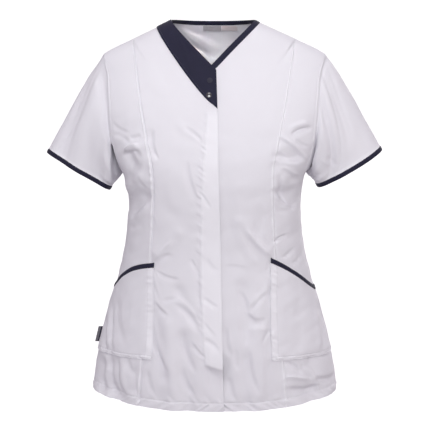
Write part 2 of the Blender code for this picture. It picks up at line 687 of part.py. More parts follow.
def build_side_tab():
    """A bare tab that stands out of the wearer's right side seam, just behind the pocket."""
    drops = np.linspace(TAB_DROP, TAB_DROP + TAB_LENGTH, 3)
    root = -column_of(SECTIONS, "half_width", drops)
    out = np.linspace(PLY_GAP, TAB_WIDTH, 3)
    points = np.array([[(r - o, TAB_SET_BACK, NECK_POINT_Z - d) for o in out] for r, d in zip(root, drops)])
    normals = np.broadcast_to(np.array([0.0, -1.0, 0.0]), points.shape)
    wall("side_tab", "navy_cloth", points, normals, -LABEL_WALL, 0)


def build_studs():
    """Press studs on the lapel: each a low turned cap, set along the form's normal."""
    seat = PLY_GAP + CLOTH_WALL + PLY_GAP
    span = STUD_RADIUS * np.linspace(-1, 1, 3)
    for stud in STUDS:
        bm = bmesh.new()
        outline = [bm.verts.new((p.radius * STUD_RADIUS, 0, p.height * STUD_HEIGHT)) for p in STUD_PROFILE]
        for a, b in zip(outline, outline[1:]):
            bm.edges.new((a, b))
        obj = finish_object(stud.name, "stud_enamel", bm)
        screw = obj.modifiers.new("turned", "SCREW")
        screw.steps = STUD_SIDES
        screw.render_steps = STUD_SIDES
        screw.use_merge_vertices = True
        screw.merge_threshold = STUD_MERGE
        points, normals = patch(stud.x + span, stud.drop + span, "front")
        normal = Vector(normals[1, 1])
        place = Vector(points[1, 1]) + normal * seat
        obj.matrix_world = Matrix.Translation(place) @ normal.to_track_quat("Z", "Y").to_matrix().to_4x4()


def build_tunic():
    remove_scene_objects()
    right = front_lattice(-1, lambda drop: -front_edge_x(drop))
    left = front_lattice(1, lambda drop: -UNDERLAP)
    back = back_lattice()
    sleeves = {"right": fit_sleeve(-1, right, back), "left": fit_sleeve(1, left, back)}
    left.points[:] -= left.normals * underlap_sink(left.points)

    build_front("right", right, "neckline")
    build_front("left", left, "binding edge")
    rows = rows_between(back, "binding edge", "hem")
    points = pull_rows(back.points[rows], first=HALF_GAP)
    wall("back", "white_cloth", points, back.normals[rows], -CLOTH_WALL, 0)
    for word, sleeve in sleeves.items():
        build_sleeve(word, sleeve)
    build_lapel(right)
    build_neck_binding(left, back)
    for word, lattice in (("right", right), ("left", left)):
        build_pocket(word, lattice)
    build_labels()
    build_side_tab()
    build_studs()


build_tunic()
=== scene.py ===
# %% [markdown]
# # A women's work tunic, dressed for its portrait
# The real garment is cut from a thin white cloth of polyester and cotton, with a dark blue lapel and
# bindings. It could be draped by a simulation, but a worn tunic is mostly tension and sewing, so each
# piece is instead laid as a fine grid on the same worn form as its solid, and its folds, seams and
# puckers are moved in or out of that grid by given sizes.

# %% Load the frame
import math
from collections import namedtuple

import bmesh
import bpy
import numpy as np
from mathutils import Matrix, Vector


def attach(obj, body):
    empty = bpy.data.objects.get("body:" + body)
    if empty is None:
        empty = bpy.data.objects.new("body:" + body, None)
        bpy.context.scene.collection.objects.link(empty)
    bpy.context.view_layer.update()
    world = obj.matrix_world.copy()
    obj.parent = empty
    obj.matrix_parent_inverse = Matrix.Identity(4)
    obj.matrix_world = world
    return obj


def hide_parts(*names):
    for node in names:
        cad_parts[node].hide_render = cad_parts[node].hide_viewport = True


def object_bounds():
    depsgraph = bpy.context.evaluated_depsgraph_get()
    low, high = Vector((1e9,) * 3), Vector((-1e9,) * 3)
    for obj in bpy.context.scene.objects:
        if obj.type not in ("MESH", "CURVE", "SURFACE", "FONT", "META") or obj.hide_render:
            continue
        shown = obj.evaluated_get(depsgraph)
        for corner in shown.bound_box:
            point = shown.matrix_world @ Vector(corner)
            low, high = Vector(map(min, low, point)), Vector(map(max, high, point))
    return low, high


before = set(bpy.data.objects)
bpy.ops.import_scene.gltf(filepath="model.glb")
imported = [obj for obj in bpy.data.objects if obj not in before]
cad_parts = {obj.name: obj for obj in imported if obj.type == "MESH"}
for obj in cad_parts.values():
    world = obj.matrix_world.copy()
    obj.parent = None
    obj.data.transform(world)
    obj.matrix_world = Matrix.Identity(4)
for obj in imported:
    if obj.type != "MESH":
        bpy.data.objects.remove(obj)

CAD_BOX = [[float(v) for v in corner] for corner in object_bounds()]
MM = 0.001
print("solids to dress:", len(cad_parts), "box", np.round(CAD_BOX, 3).tolist())

# %% [markdown]
# ## Camera
# The photograph looks almost straight at the chest from a little above. The lens follows from how wide
# the view is at the distance of the garment.

# %% Camera
AIM = Vector((0.0055, 0.0, -0.333))
TURN = math.radians(2.4)
RISE = math.radians(9.0)
DISTANCE = 3.0
VIEW_WIDTH = 0.805
SENSOR = 36.0


def put_in_scene(name, data):
    """A new object that holds some data, linked to the scene."""
    item = bpy.data.objects.new(name, data)
    bpy.context.scene.collection.objects.link(item)
    return item


towards = Vector((math.sin(TURN) * math.cos(RISE), -math.cos(TURN) * math.cos(RISE), math.sin(RISE)))
camera_data = bpy.data.cameras.new("portrait")
camera_data.sensor_width = SENSOR
camera_data.lens = SENSOR * DISTANCE / VIEW_WIDTH
camera = put_in_scene("portrait", camera_data)
camera.location = AIM + towards * DISTANCE
camera.rotation_euler = (-towards).to_track_quat("-Z", "Y").to_euler()
bpy.context.scene.camera = camera
print("lens", round(camera_data.lens, 1), "mm")

# %% [markdown]
# ## Studio
# A white tunic on white needs light that is soft but not flat. A wide softbox stands ahead and above, and
# a larger one hangs overhead. Two more stand low at the sides, one behind lights the back, and a small
# narrow one is aimed into the neck. A pale fill comes from all round, and its faint mauve tells in the
# hollows, as bounced light does between layers of white cloth. The floor lies where a standing wearer's
# feet would be.

# %% Studio
FLOOR_BELOW_HEM = 0.78
FLOOR_RADIUS = 30.0
FLOOR_SIDES = 96
FLOOR_COLOUR = (0.54, 0.53, 0.54)
FLOOR_GLOW = 0.90
FILL_COLOUR = (1.0, 0.92, 1.0)
FILL_STRENGTH = 0.46
PAPER_SEEN = 1.08


def new_material(name):
    material = bpy.data.materials.new(name)
    material.use_nodes = True
    return material, material.node_tree, material.node_tree.nodes["Principled BSDF"]


def set_inputs(node, **values):
    """Set a node's inputs by name, an underline standing for a space."""
    for name, value in values.items():
        node.inputs[name.replace("_", " ")].default_value = value
    return node


def camera_ray_split(tree, seen, lit):
    """A shader that the camera sees as one thing while the light in the room comes from another."""
    path = tree.nodes.new("ShaderNodeLightPath")
    mix = tree.nodes.new("ShaderNodeMixShader")
    tree.links.new(path.outputs["Is Camera Ray"], mix.inputs["Fac"])
    tree.links.new(lit, mix.inputs[1])
    tree.links.new(seen, mix.inputs[2])
    return mix.outputs["Shader"]


def build_world():
    world = bpy.data.worlds.new("studio")
    world.use_nodes = True
    tree = world.node_tree
    lit = set_inputs(tree.nodes["Background"], Color=(*FILL_COLOUR, 1), Strength=FILL_STRENGTH)
    seen = set_inputs(tree.nodes.new("ShaderNodeBackground"), Color=(1, 1, 1, 1), Strength=PAPER_SEEN)
    shader = camera_ray_split(tree, seen.outputs["Background"], lit.outputs["Background"])
    tree.links.new(shader, tree.nodes["World Output"].inputs["Surface"])
    bpy.context.scene.world = world


def build_floor(height):
    """A wide round floor of pale paper, which glows a little to the camera so that it reads as white."""
    bm = bmesh.new()
    bmesh.ops.create_circle(bm, cap_ends=True, radius=FLOOR_RADIUS, segments=FLOOR_SIDES)
    mesh = bpy.data.meshes.new("floor")
    bm.to_mesh(mesh)
    bm.free()
    mesh.transform(Matrix.Translation((0, 0, height)))
    paper, tree, lit = new_material("floor_paper")
    set_inputs(lit, Base_Color=(*FLOOR_COLOUR, 1), Roughness=1.0)
    glow = set_inputs(tree.nodes.new("ShaderNodeEmission"), Strength=FLOOR_GLOW)
    both = tree.nodes.new("ShaderNodeAddShader")
    tree.links.new(lit.outputs["BSDF"], both.inputs[0])
    tree.links.new(glow.outputs["Emission"], both.inputs[1])
    shader = camera_ray_split(tree, both.outputs["Shader"], lit.outputs["BSDF"])
    tree.links.new(shader, tree.nodes["Material Output"].inputs["Surface"])
    mesh.materials.append(paper)
    put_in_scene("floor", mesh)


Softbox = namedtuple("Softbox", "name place aim width height power colour spread")
SOFTBOXES = (
    Softbox("key", (0.08, -2.1, 0.78), (0.0, -0.1, -0.02), 1.2, 0.8, 6.1, (0.985, 1.0, 0.985), 86),
    Softbox("top", (0.0, -0.4, 2.2), (0.0, 0.0, 0.0), 1.4, 1.2, 13.0, (1.0, 1.0, 1.0), 180),
    Softbox("low", (1.90, -1.15, -0.80), (0.1, 0.0, -0.40), 1.0, 0.8, 6.6, (1.0, 0.950, 0.925), 180),
    Softbox("left", (-1.90, -1.20, -0.75), (-0.1, 0.0, -0.40), 1.0, 0.8, 4.6, (0.98, 0.955, 1.0), 180),
    Softbox("behind", (1.0, 2.2, 0.10), (0.0, 0.0, -0.35), 1.2, 1.2, 26.0, (1.0, 1.0, 1.0), 180),
    Softbox("neck", (0.20, -0.75, 0.80), (-0.024, 0.06, -0.018), 0.08, 0.08, 0.023, (1.0, 0.99, 0.98), 6.5),
)


def build_softbox(box):
    """A rectangular light turned to its aim, its spread given in degrees."""
    light = bpy.data.lights.new(box.name, "AREA")
    light.shape = "RECTANGLE"
    light.size = box.width
    light.size_y = box.height
    light.energy = box.power
    light.color = box.colour
    light.spread = math.radians(box.spread)
    lamp = put_in_scene(box.name, light)
    lamp.location = box.place
    lamp.rotation_euler = (Vector(box.aim) - Vector(box.place)).to_track_quat("-Z", "Y").to_euler()


build_world()
build_floor(CAD_BOX[0][2] - FLOOR_BELOW_HEM)
for softbox in SOFTBOXES:
    build_softbox(softbox)
bpy.context.scene.view_settings.view_transform = "Standard"
print("studio:", [box.name for box in SOFTBOXES])

# %% [markdown]
# ## The worn form
# A tunic that is worn has a width, a depth in front and a depth behind at each height. These level
# sections are the same ones that its solids are built on, so the cloth lies where they do. Only the
# cuffs lie a few millimetres from theirs, because they were measured again later. Row lines across the
# form give the neckline, the shoulder, the armhole, the pocket mouth and the hem, and the widest folds
# are soft bumps along lines, with their lengths in millimetres.

# %% Sections, rows and large folds
NECK_POINT_Z = 0.030
NECK_LEAN = -0.004
NECK_LEAN_END = 0.20
NECK_LEAN_SIDE = 0.18
FOLDS_END_AT = 0.35
HEM_DROP = 0.692


def records(kind, *rows):
    """Rows of plain values as records with named columns."""
    return [kind(*row) for row in rows]


def in_metres(rows, lengths):
    """Records whose first columns are lengths written in millimetres, taken to metres."""
    return [row._make([value / 1000 for value in row[:lengths]] + list(row[lengths:])) for row in rows]


Section = namedtuple("Section", "drop half_width front_depth back_depth front_square back_square")
SECTIONS = records(
    Section,
    (-0.030, 0.040, 0.036, 0.048, 2.0, 2.0),
    (0.000, 0.076, 0.047, 0.061, 2.0, 2.0),
    (0.013, 0.103, 0.052, 0.067, 2.1, 2.1),
    (0.033, 0.146, 0.059, 0.077, 2.2, 2.2),
    (0.060, 0.200, 0.067, 0.089, 2.2, 2.2),
    (0.080, 0.217, 0.075, 0.096, 2.2, 2.2),
    (0.110, 0.226, 0.089, 0.105, 2.3, 2.2),
    (0.150, 0.223, 0.107, 0.113, 2.4, 2.3),
    (0.200, 0.206, 0.123, 0.117, 2.6, 2.3),
    (0.245, 0.183, 0.133, 0.113, 2.8, 2.4),
    (0.279, 0.167, 0.136, 0.108, 2.8, 2.4),
    (0.320, 0.160, 0.133, 0.101, 2.7, 2.4),
    (0.370, 0.160, 0.127, 0.095, 2.6, 2.3),
    (0.420, 0.167, 0.125, 0.097, 2.4, 2.3),
    (0.470, 0.179, 0.129, 0.107, 2.3, 2.2),
    (0.530, 0.197, 0.137, 0.121, 2.2, 2.2),
    (0.600, 0.215, 0.145, 0.134, 2.2, 2.2),
    (0.650, 0.225, 0.149, 0.140, 2.2, 2.2),
    (0.700, 0.229, 0.151, 0.143, 2.2, 2.2),
)

Row = namedtuple("Row", "name front back side front_curve back_curve front_edge back_edge")
ROWS = records(
    Row,
    ("neckline", 0.076, 0.004, 0.000, 1.00, 2.6, 0.000, 0.000),
    ("binding edge", 0.0894, 0.0120, 0.0045, 1.03, 2.5, 0.000, 0.000),
    ("lapel edge", 0.143, 0.032, 0.013, 1.17, 2.3, 0.000, 0.000),
    ("panel top", 0.172, 0.060, 0.033, 1.35, 2.1, 0.000, 0.000),
    ("princess top", 0.1735, 0.0615, 0.0348, 1.36, 2.1, 0.000, 0.000),
    ("yoke", 0.181, 0.071, 0.0400, 1.40, 2.1, 0.000, 0.000),
    ("shoulder point", 0.212, 0.105, 0.060, 1.60, 2.0, 0.000, 0.000),
    ("armhole cap", 0.215, 0.110, 0.064, 1.62, 2.0, 0.016, 0.018),
    ("armhole top", 0.220, 0.119, 0.074, 1.65, 2.0, 0.031, 0.034),
    ("armhole upper", 0.232, 0.140, 0.102, 1.70, 2.0, 0.051, 0.050),
    ("armhole middle", 0.248, 0.172, 0.152, 1.80, 2.0, 0.069, 0.060),
    ("armhole lower", 0.263, 0.208, 0.202, 1.90, 2.0, 0.073, 0.059),
    ("armhole curve", 0.277, 0.243, 0.246, 2.00, 2.0, 0.060, 0.046),
    ("armhole foot", 0.286, 0.264, 0.270, 2.00, 2.0, 0.034, 0.025),
    ("armpit", 0.293, 0.279, 0.279, 2.00, 2.0, 0.000, 0.000),
    ("waist", 0.370, 0.370, 0.370, 2.20, 2.0, 0.000, 0.000),
    ("pocket mouth", 0.427, 0.466, 0.486, 5.60, 2.0, 0.000, 0.000),
    ("pocket binding", 0.4360, 0.476, 0.4955, 5.60, 2.0, 0.000, 0.000),
    ("pocket foot", 0.601, 0.604, 0.608, 3.00, 2.0, 0.000, 0.000),
    ("hem", HEM_DROP, 0.684, 0.682, 2.00, 2.0, 0.000, 0.000),
)

Mouth = namedtuple("Mouth", "front front_curve")
LEFT_MOUTH = {"pocket mouth": Mouth(0.398, 2.6), "pocket binding": Mouth(0.408, 2.6)}

Guide = namedtuple("Guide", "drop princess pocket_inset")
GUIDES = records(
    Guide,
    (-0.010, 0.150, 0.012),
    (0.033, 0.146, 0.013),
    (0.080, 0.139, 0.013),
    (0.140, 0.130, 0.013),
    (0.200, 0.119, 0.012),
    (0.260, 0.109, 0.011),
    (0.330, 0.108, 0.011),
    (0.424, 0.113, 0.010),
    (0.520, 0.118, 0.014),
    (0.600, 0.127, 0.020),
    (0.700, 0.136, 0.022),
)

Fold = namedtuple("Fold", "x0 drop0 x1 drop1 spread height")
FRONT_FOLDS = records(
    Fold,
    (-140, 228, -118, 216, 10, 3.5),
    (-146, 252, -122, 262, 12, -4.0),
    (-142, 318, -120, 296, 13, -3.5),
    (148, 250, 122, 226, 11, 3.5),
    (146, 276, 120, 252, 12, -4.0),
    (146, 300, 124, 322, 13, -3.5),
    (-100, 410, -62, 372, 11, 3.0),
    (100, 402, 52, 352, 12, 3.5),
    (-103, 520, -86, 630, 12, -4.5),
    (-78, 540, -70, 690, 14, 4.0),
    (-48, 560, -40, 690, 13, -4.5),
    (-60, 478, -34, 520, 11, -3.5),
    (56, 470, 66, 560, 13, -4.5),
    (84, 500, 80, 690, 15, 4.0),
    (58, 600, 64, 700, 12, -3.5),
    (-190, 600, -176, 700, 12, -5.0),
    (178, 610, 186, 700, 13, -5.0),
)
BACK_FOLDS = records(
    Fold,
    (-110, 200, -60, 150, 18, 3.5),
    (115, 205, 62, 160, 18, 3.5),
    (-120, 400, 10, 385, 13, -4.0),
    (-20, 420, 125, 405, 13, -4.0),
    (-140, 470, -150, 700, 18, -6.0),
    (-85, 500, -90, 700, 18, 5.5),
    (-30, 480, -28, 700, 17, -5.5),
    (30, 520, 34, 700, 18, 5.0),
    (88, 470, 96, 700, 18, -6.0),
    (146, 500, 156, 700, 18, 5.0),
)
FOLDS = {"front": in_metres(FRONT_FOLDS, 6), "back": in_metres(BACK_FOLDS, 6)}
print("sections", len(SECTIONS), "rows", len(ROWS), "large folds", len(FRONT_FOLDS + BACK_FOLDS))

# %% [markdown]
# ## Reading the form
# Short helpers turn the tables into smooth curves, and the curves into points in space. A level section
# is a rounded oblong: its squareness says how flat the front is before it turns to the side.

# %% Form functions
TINY = 1e-12
STEEPEST = 3.0


def smooth_way(t, start, leaving, end, arriving):
    """A point at share t of the smooth way from start to end, with its slopes at both."""
    return (
        (2 * t**3 - 3 * t**2 + 1) * start
        + (t**3 - 2 * t**2 + t) * leaving
        + (3 * t**2 - 2 * t**3) * end
        + (t**3 - t**2) * arriving
    )


def curve_through(knots, values, at, steady=False):
    """A smooth curve through (knots, values), read at the given places; a steady one never doubles back."""
    knots, values, at = (np.asarray(a, float) for a in (knots, values, at))
    slopes = np.gradient(values, knots)
    if steady:
        chords = np.abs(np.diff(values) / np.diff(knots))
        least = np.minimum(np.append(chords[:1], chords), np.append(chords, chords[-1:]))
        slopes = np.clip(slopes, -STEEPEST * least, STEEPEST * least)
    k = np.clip(np.searchsorted(knots, at, side="right") - 1, 0, len(knots) - 2)
    span = knots[k + 1] - knots[k]
    return smooth_way(
        (at - knots[k]) / span, values[k], span * slopes[k], values[k + 1], span * slopes[k + 1]
    )


def column_of(table, field, at):
    """One column of a table, read as a smooth curve down the garment."""
    return curve_through([r.drop for r in table], [getattr(r, field) for r in table], at)


def smooth_step(x):
    x = np.clip(x, 0.0, 1.0)
    return x * x * (3 - 2 * x)


def lean_at(x, drop):
    """How far the neck stands off centre, fading out down the chest and along the shoulders."""
    down = 1 - smooth_step(drop / NECK_LEAN_END)
    return NECK_LEAN * down * (1 - smooth_step(np.abs(x) / NECK_LEAN_SIDE))


def line_bump(px, py, x0, y0, x1, y1, spread):
    """1 on the line from (x0, y0) to (x1, y1), and falling softly to 0 round it."""
    dx, dy = x1 - x0, y1 - y0
    along = np.clip(((px - x0) * dx + (py - y0) * dy) / (dx * dx + dy * dy), 0, 1)
    away = np.hypot(px - x0 - along * dx, py - y0 - along * dy)
    return np.exp(-((away / spread) ** 2))


def form_points(x, drop, face):
    """Points of the worn form, large folds included, seen from the front at x and drop."""
    sign = -1.0 if face == "front" else 1.0
    half = column_of(SECTIONS, "half_width", drop)
    depth = column_of(SECTIONS, f"{face}_depth", drop)
    square = column_of(SECTIONS, f"{face}_square", drop)
    share = np.clip(np.abs(x) / half, 0, 1)
    out = (1 - share**square) ** (1 / square)
    lift = sum(
        f.height * line_bump(x, drop, f.x0, f.drop0, f.x1, f.drop1, f.spread) for f in FOLDS[face]
    )
    normal_x = np.sign(x) * share ** (square - 1) / half
    normal_y = sign * out ** (square - 1) / depth
    lift = lift * smooth_step(out / FOLDS_END_AT) / np.hypot(normal_x, normal_y)
    across = x + lean_at(x, drop) + lift * normal_x
    return np.stack([across, sign * depth * out + lift * normal_y, NECK_POINT_Z - drop], axis=-1)


def row_index(name):
    return [r.name for r in ROWS].index(name)


def rows_of(side):
    """The table of rows on one side, as the wearer's left pocket mouth slants more steeply than the right."""
    if side < 0:
        return ROWS
    return [r._replace(**LEFT_MOUTH[r.name]._asdict()) if r.name in LEFT_MOUTH else r for r in ROWS]


def row_at(position, side=-1):
    """The row line at a position between the table's rows, whole numbers being the rows themselves."""
    rows = rows_of(side)
    places = np.arange(len(rows))
    return {
        field: float(curve_through(places, [getattr(r, field) for r in rows], position, steady=True))
        for field in Row._fields
        if field != "name"
    }


print("hem depth", round(float(column_of(SECTIONS, "front_depth", HEM_DROP)), 3), "m")

# %% [markdown]
# ## Laying the grids
# Cloth that is sewn keeps its seams where the grid lines are, so the columns follow the seams instead of
# running straight. They crowd together beside the princess seam and the front edge, where the relief is
# fine, and spread out over plain cloth. Each grid also remembers how far along and down the cloth each
# point is, which places stitches and the weave later.

# %% Rows and columns of the grids
ROW_STEP = 0.0023
DENSE = 400
NEAR_SEAM = np.array([0.0, 0.8, 1.6, 2.4, 3.3, 4.4, 5.8, 7.6]) * MM
COLUMNS_FLY = 32
FLY_ZONE = 0.054
COLUMNS_CENTRE = 30
COLUMNS_SIDE = 42
COLUMNS_BACK = 84
UNDERLAP = 0.024
UNDERLAP_SINK = 0.0030
UNDERLAP_RISE = (0.004, 0.034)
FRONT_EDGE_TOP = 0.009
FRONT_EDGE_HEM = 0.023
HEM_ZONE = 0.022

Grid = namedtuple("Grid", "face side positions points x drop run down seam total")
Strip = namedtuple("Strip", "points normals run down")


def fine_positions():
    """Where the grid's rows run: about ROW_STEP apart, and half that in the hem."""
    found = [0.0]
    for i, (a, b) in enumerate(zip(ROWS, ROWS[1:])):
        reach = max(abs(b.front - a.front), abs(b.back - a.back), abs(b.side - a.side))
        steps = max(1, math.ceil(reach / ROW_STEP))
        if b.name == "hem":
            plain = steps - math.ceil(HEM_ZONE / ROW_STEP)
            found += [i + (k + 1) / steps for k in range(plain)]
            found += list(np.linspace(i + plain / steps, i + 1, 2 * (steps - plain) + 1)[1:])
        else:
            found += [i + (k + 1) / steps for k in range(steps)]
    return found


POSITIONS = fine_positions()


def row_number(name):
    return int(np.argmin(np.abs(np.array(POSITIONS) - row_index(name))))


print("rows of the grids:", len(POSITIONS), "with the panel top at", row_number("panel top"))

# %% Grids of the panels
def front_edge_x(drop):
    """Where the right front's free edge lies, past the centre line."""
    share = np.clip((drop - ROWS[0].front) / (HEM_DROP - ROWS[0].front), 0, 1)
    return FRONT_EDGE_TOP + (FRONT_EDGE_HEM - FRONT_EDGE_TOP) * share


def dense_line(position, face, side, start):
    """One row line as many places from start to its side end: x, drop and length along the cloth."""
    row = row_at(position, side)
    centre, curve, edge = row[face], row[f"{face}_curve"], max(row[f"{face}_edge"], 0.0)
    half, depth, square = (
        float(column_of(SECTIONS, field, row["side"]))
        for field in ("half_width", f"{face}_depth", f"{face}_square")
    )
    end = half * (1 - (edge / depth) ** square) ** (1 / square)
    x = start + (end - start) * np.sin(np.linspace(0, math.pi / 2, DENSE))
    turn = np.sign(x) * np.abs(x / end) ** curve
    return x, row["side"] + (centre - row["side"]) * (1 - turn)


def lengths_along(points, axis):
    """Length along the cloth from the first point, down one axis of a grid."""
    steps = np.linalg.norm(np.diff(points, axis=axis), axis=-1)
    start = np.zeros_like(np.take(steps, [0], axis=axis))
    return np.concatenate([start, np.cumsum(steps, axis=axis)], axis=axis)


def measured(points, normals):
    """A strip with its lengths measured from its first column and its first row."""
    return Strip(points, normals, lengths_along(points, 1), lengths_along(points, 0))


def read_along(field, run, at):
    """A row of points or normals, read at one or more lengths along it."""
    return np.stack([np.interp(at, run, field[:, k]) for k in range(3)], axis=-1)


def column_places(face, seam, total):
    """Lengths along one row line where the grid's columns cross it, the seam's own column coming twice."""
    if face == "back":
        return np.linspace(0, total, COLUMNS_BACK + 1)
    near = NEAR_SEAM * min(1.0, seam / 4 / NEAR_SEAM[-1])
    fly = np.linspace(0, min(FLY_ZONE, seam * 0.45), COLUMNS_FLY + 1)
    plain = np.linspace(fly[-1], seam - near[-1], COLUMNS_CENTRE + 1)[1:]
    beside = NEAR_SEAM * min(1.0, (total - seam) / 2 / NEAR_SEAM[-1])
    aside = np.linspace(seam + beside[-1], total, COLUMNS_SIDE + 1)[1:]
    return np.concatenate([fly, plain, seam - near[::-1][1:], seam + beside, aside])


SEAM_COLUMN = COLUMNS_FLY + COLUMNS_CENTRE + len(NEAR_SEAM) - 1


def lay_grid(face, side, start_of_row):
    """The grid of one half of the front or back, from the neckline to the hem."""
    x, drop, seams, totals = [], [], [], []
    for position in POSITIONS:
        line_x, line_drop = dense_line(position, face, side, start_of_row(row_at(position, side)[face]))
        lengths = lengths_along(form_points(side * line_x, line_drop, face), 0)
        seam = total = lengths[-1]
        if face == "front" and position > row_index("panel top"):
            seam = float(np.interp(0, line_x - column_of(GUIDES, "princess", line_drop), lengths))
        places = column_places(face, seam, total)
        x.append(side * np.interp(places, lengths, line_x))
        drop.append(np.interp(places, lengths, line_drop))
        seams.append(seam)
        totals.append(total)
    x, drop = np.array(x), np.array(drop)
    points = form_points(x, drop, face)
    run, down = lengths_along(points, 1), lengths_along(points, 0)
    seams, totals = np.array(seams), np.array(totals)
    return Grid(face, side, np.array(POSITIONS), points, x, drop, run, down, seams, totals)


def join_halves(right, left):
    """The two halves of the back as one grid, from the wearer's right to the left."""
    fields = {}
    for field in ("points", "x", "drop", "down"):
        a, b = getattr(right, field), getattr(left, field)
        fields[field] = np.concatenate([a[:, ::-1], b[:, 1:]], axis=1)
    run = lengths_along(fields["points"], 1)
    return right._replace(run=run, total=run[:, -1], **fields)


right_front = lay_grid("front", -1, lambda drop: -front_edge_x(drop))
left_front = lay_grid("front", 1, lambda drop: -UNDERLAP)
whole_back = join_halves(lay_grid("back", -1, lambda drop: 0.0), lay_grid("back", 1, lambda drop: 0.0))
print("grids:", right_front.points.shape, left_front.points.shape, whole_back.points.shape)
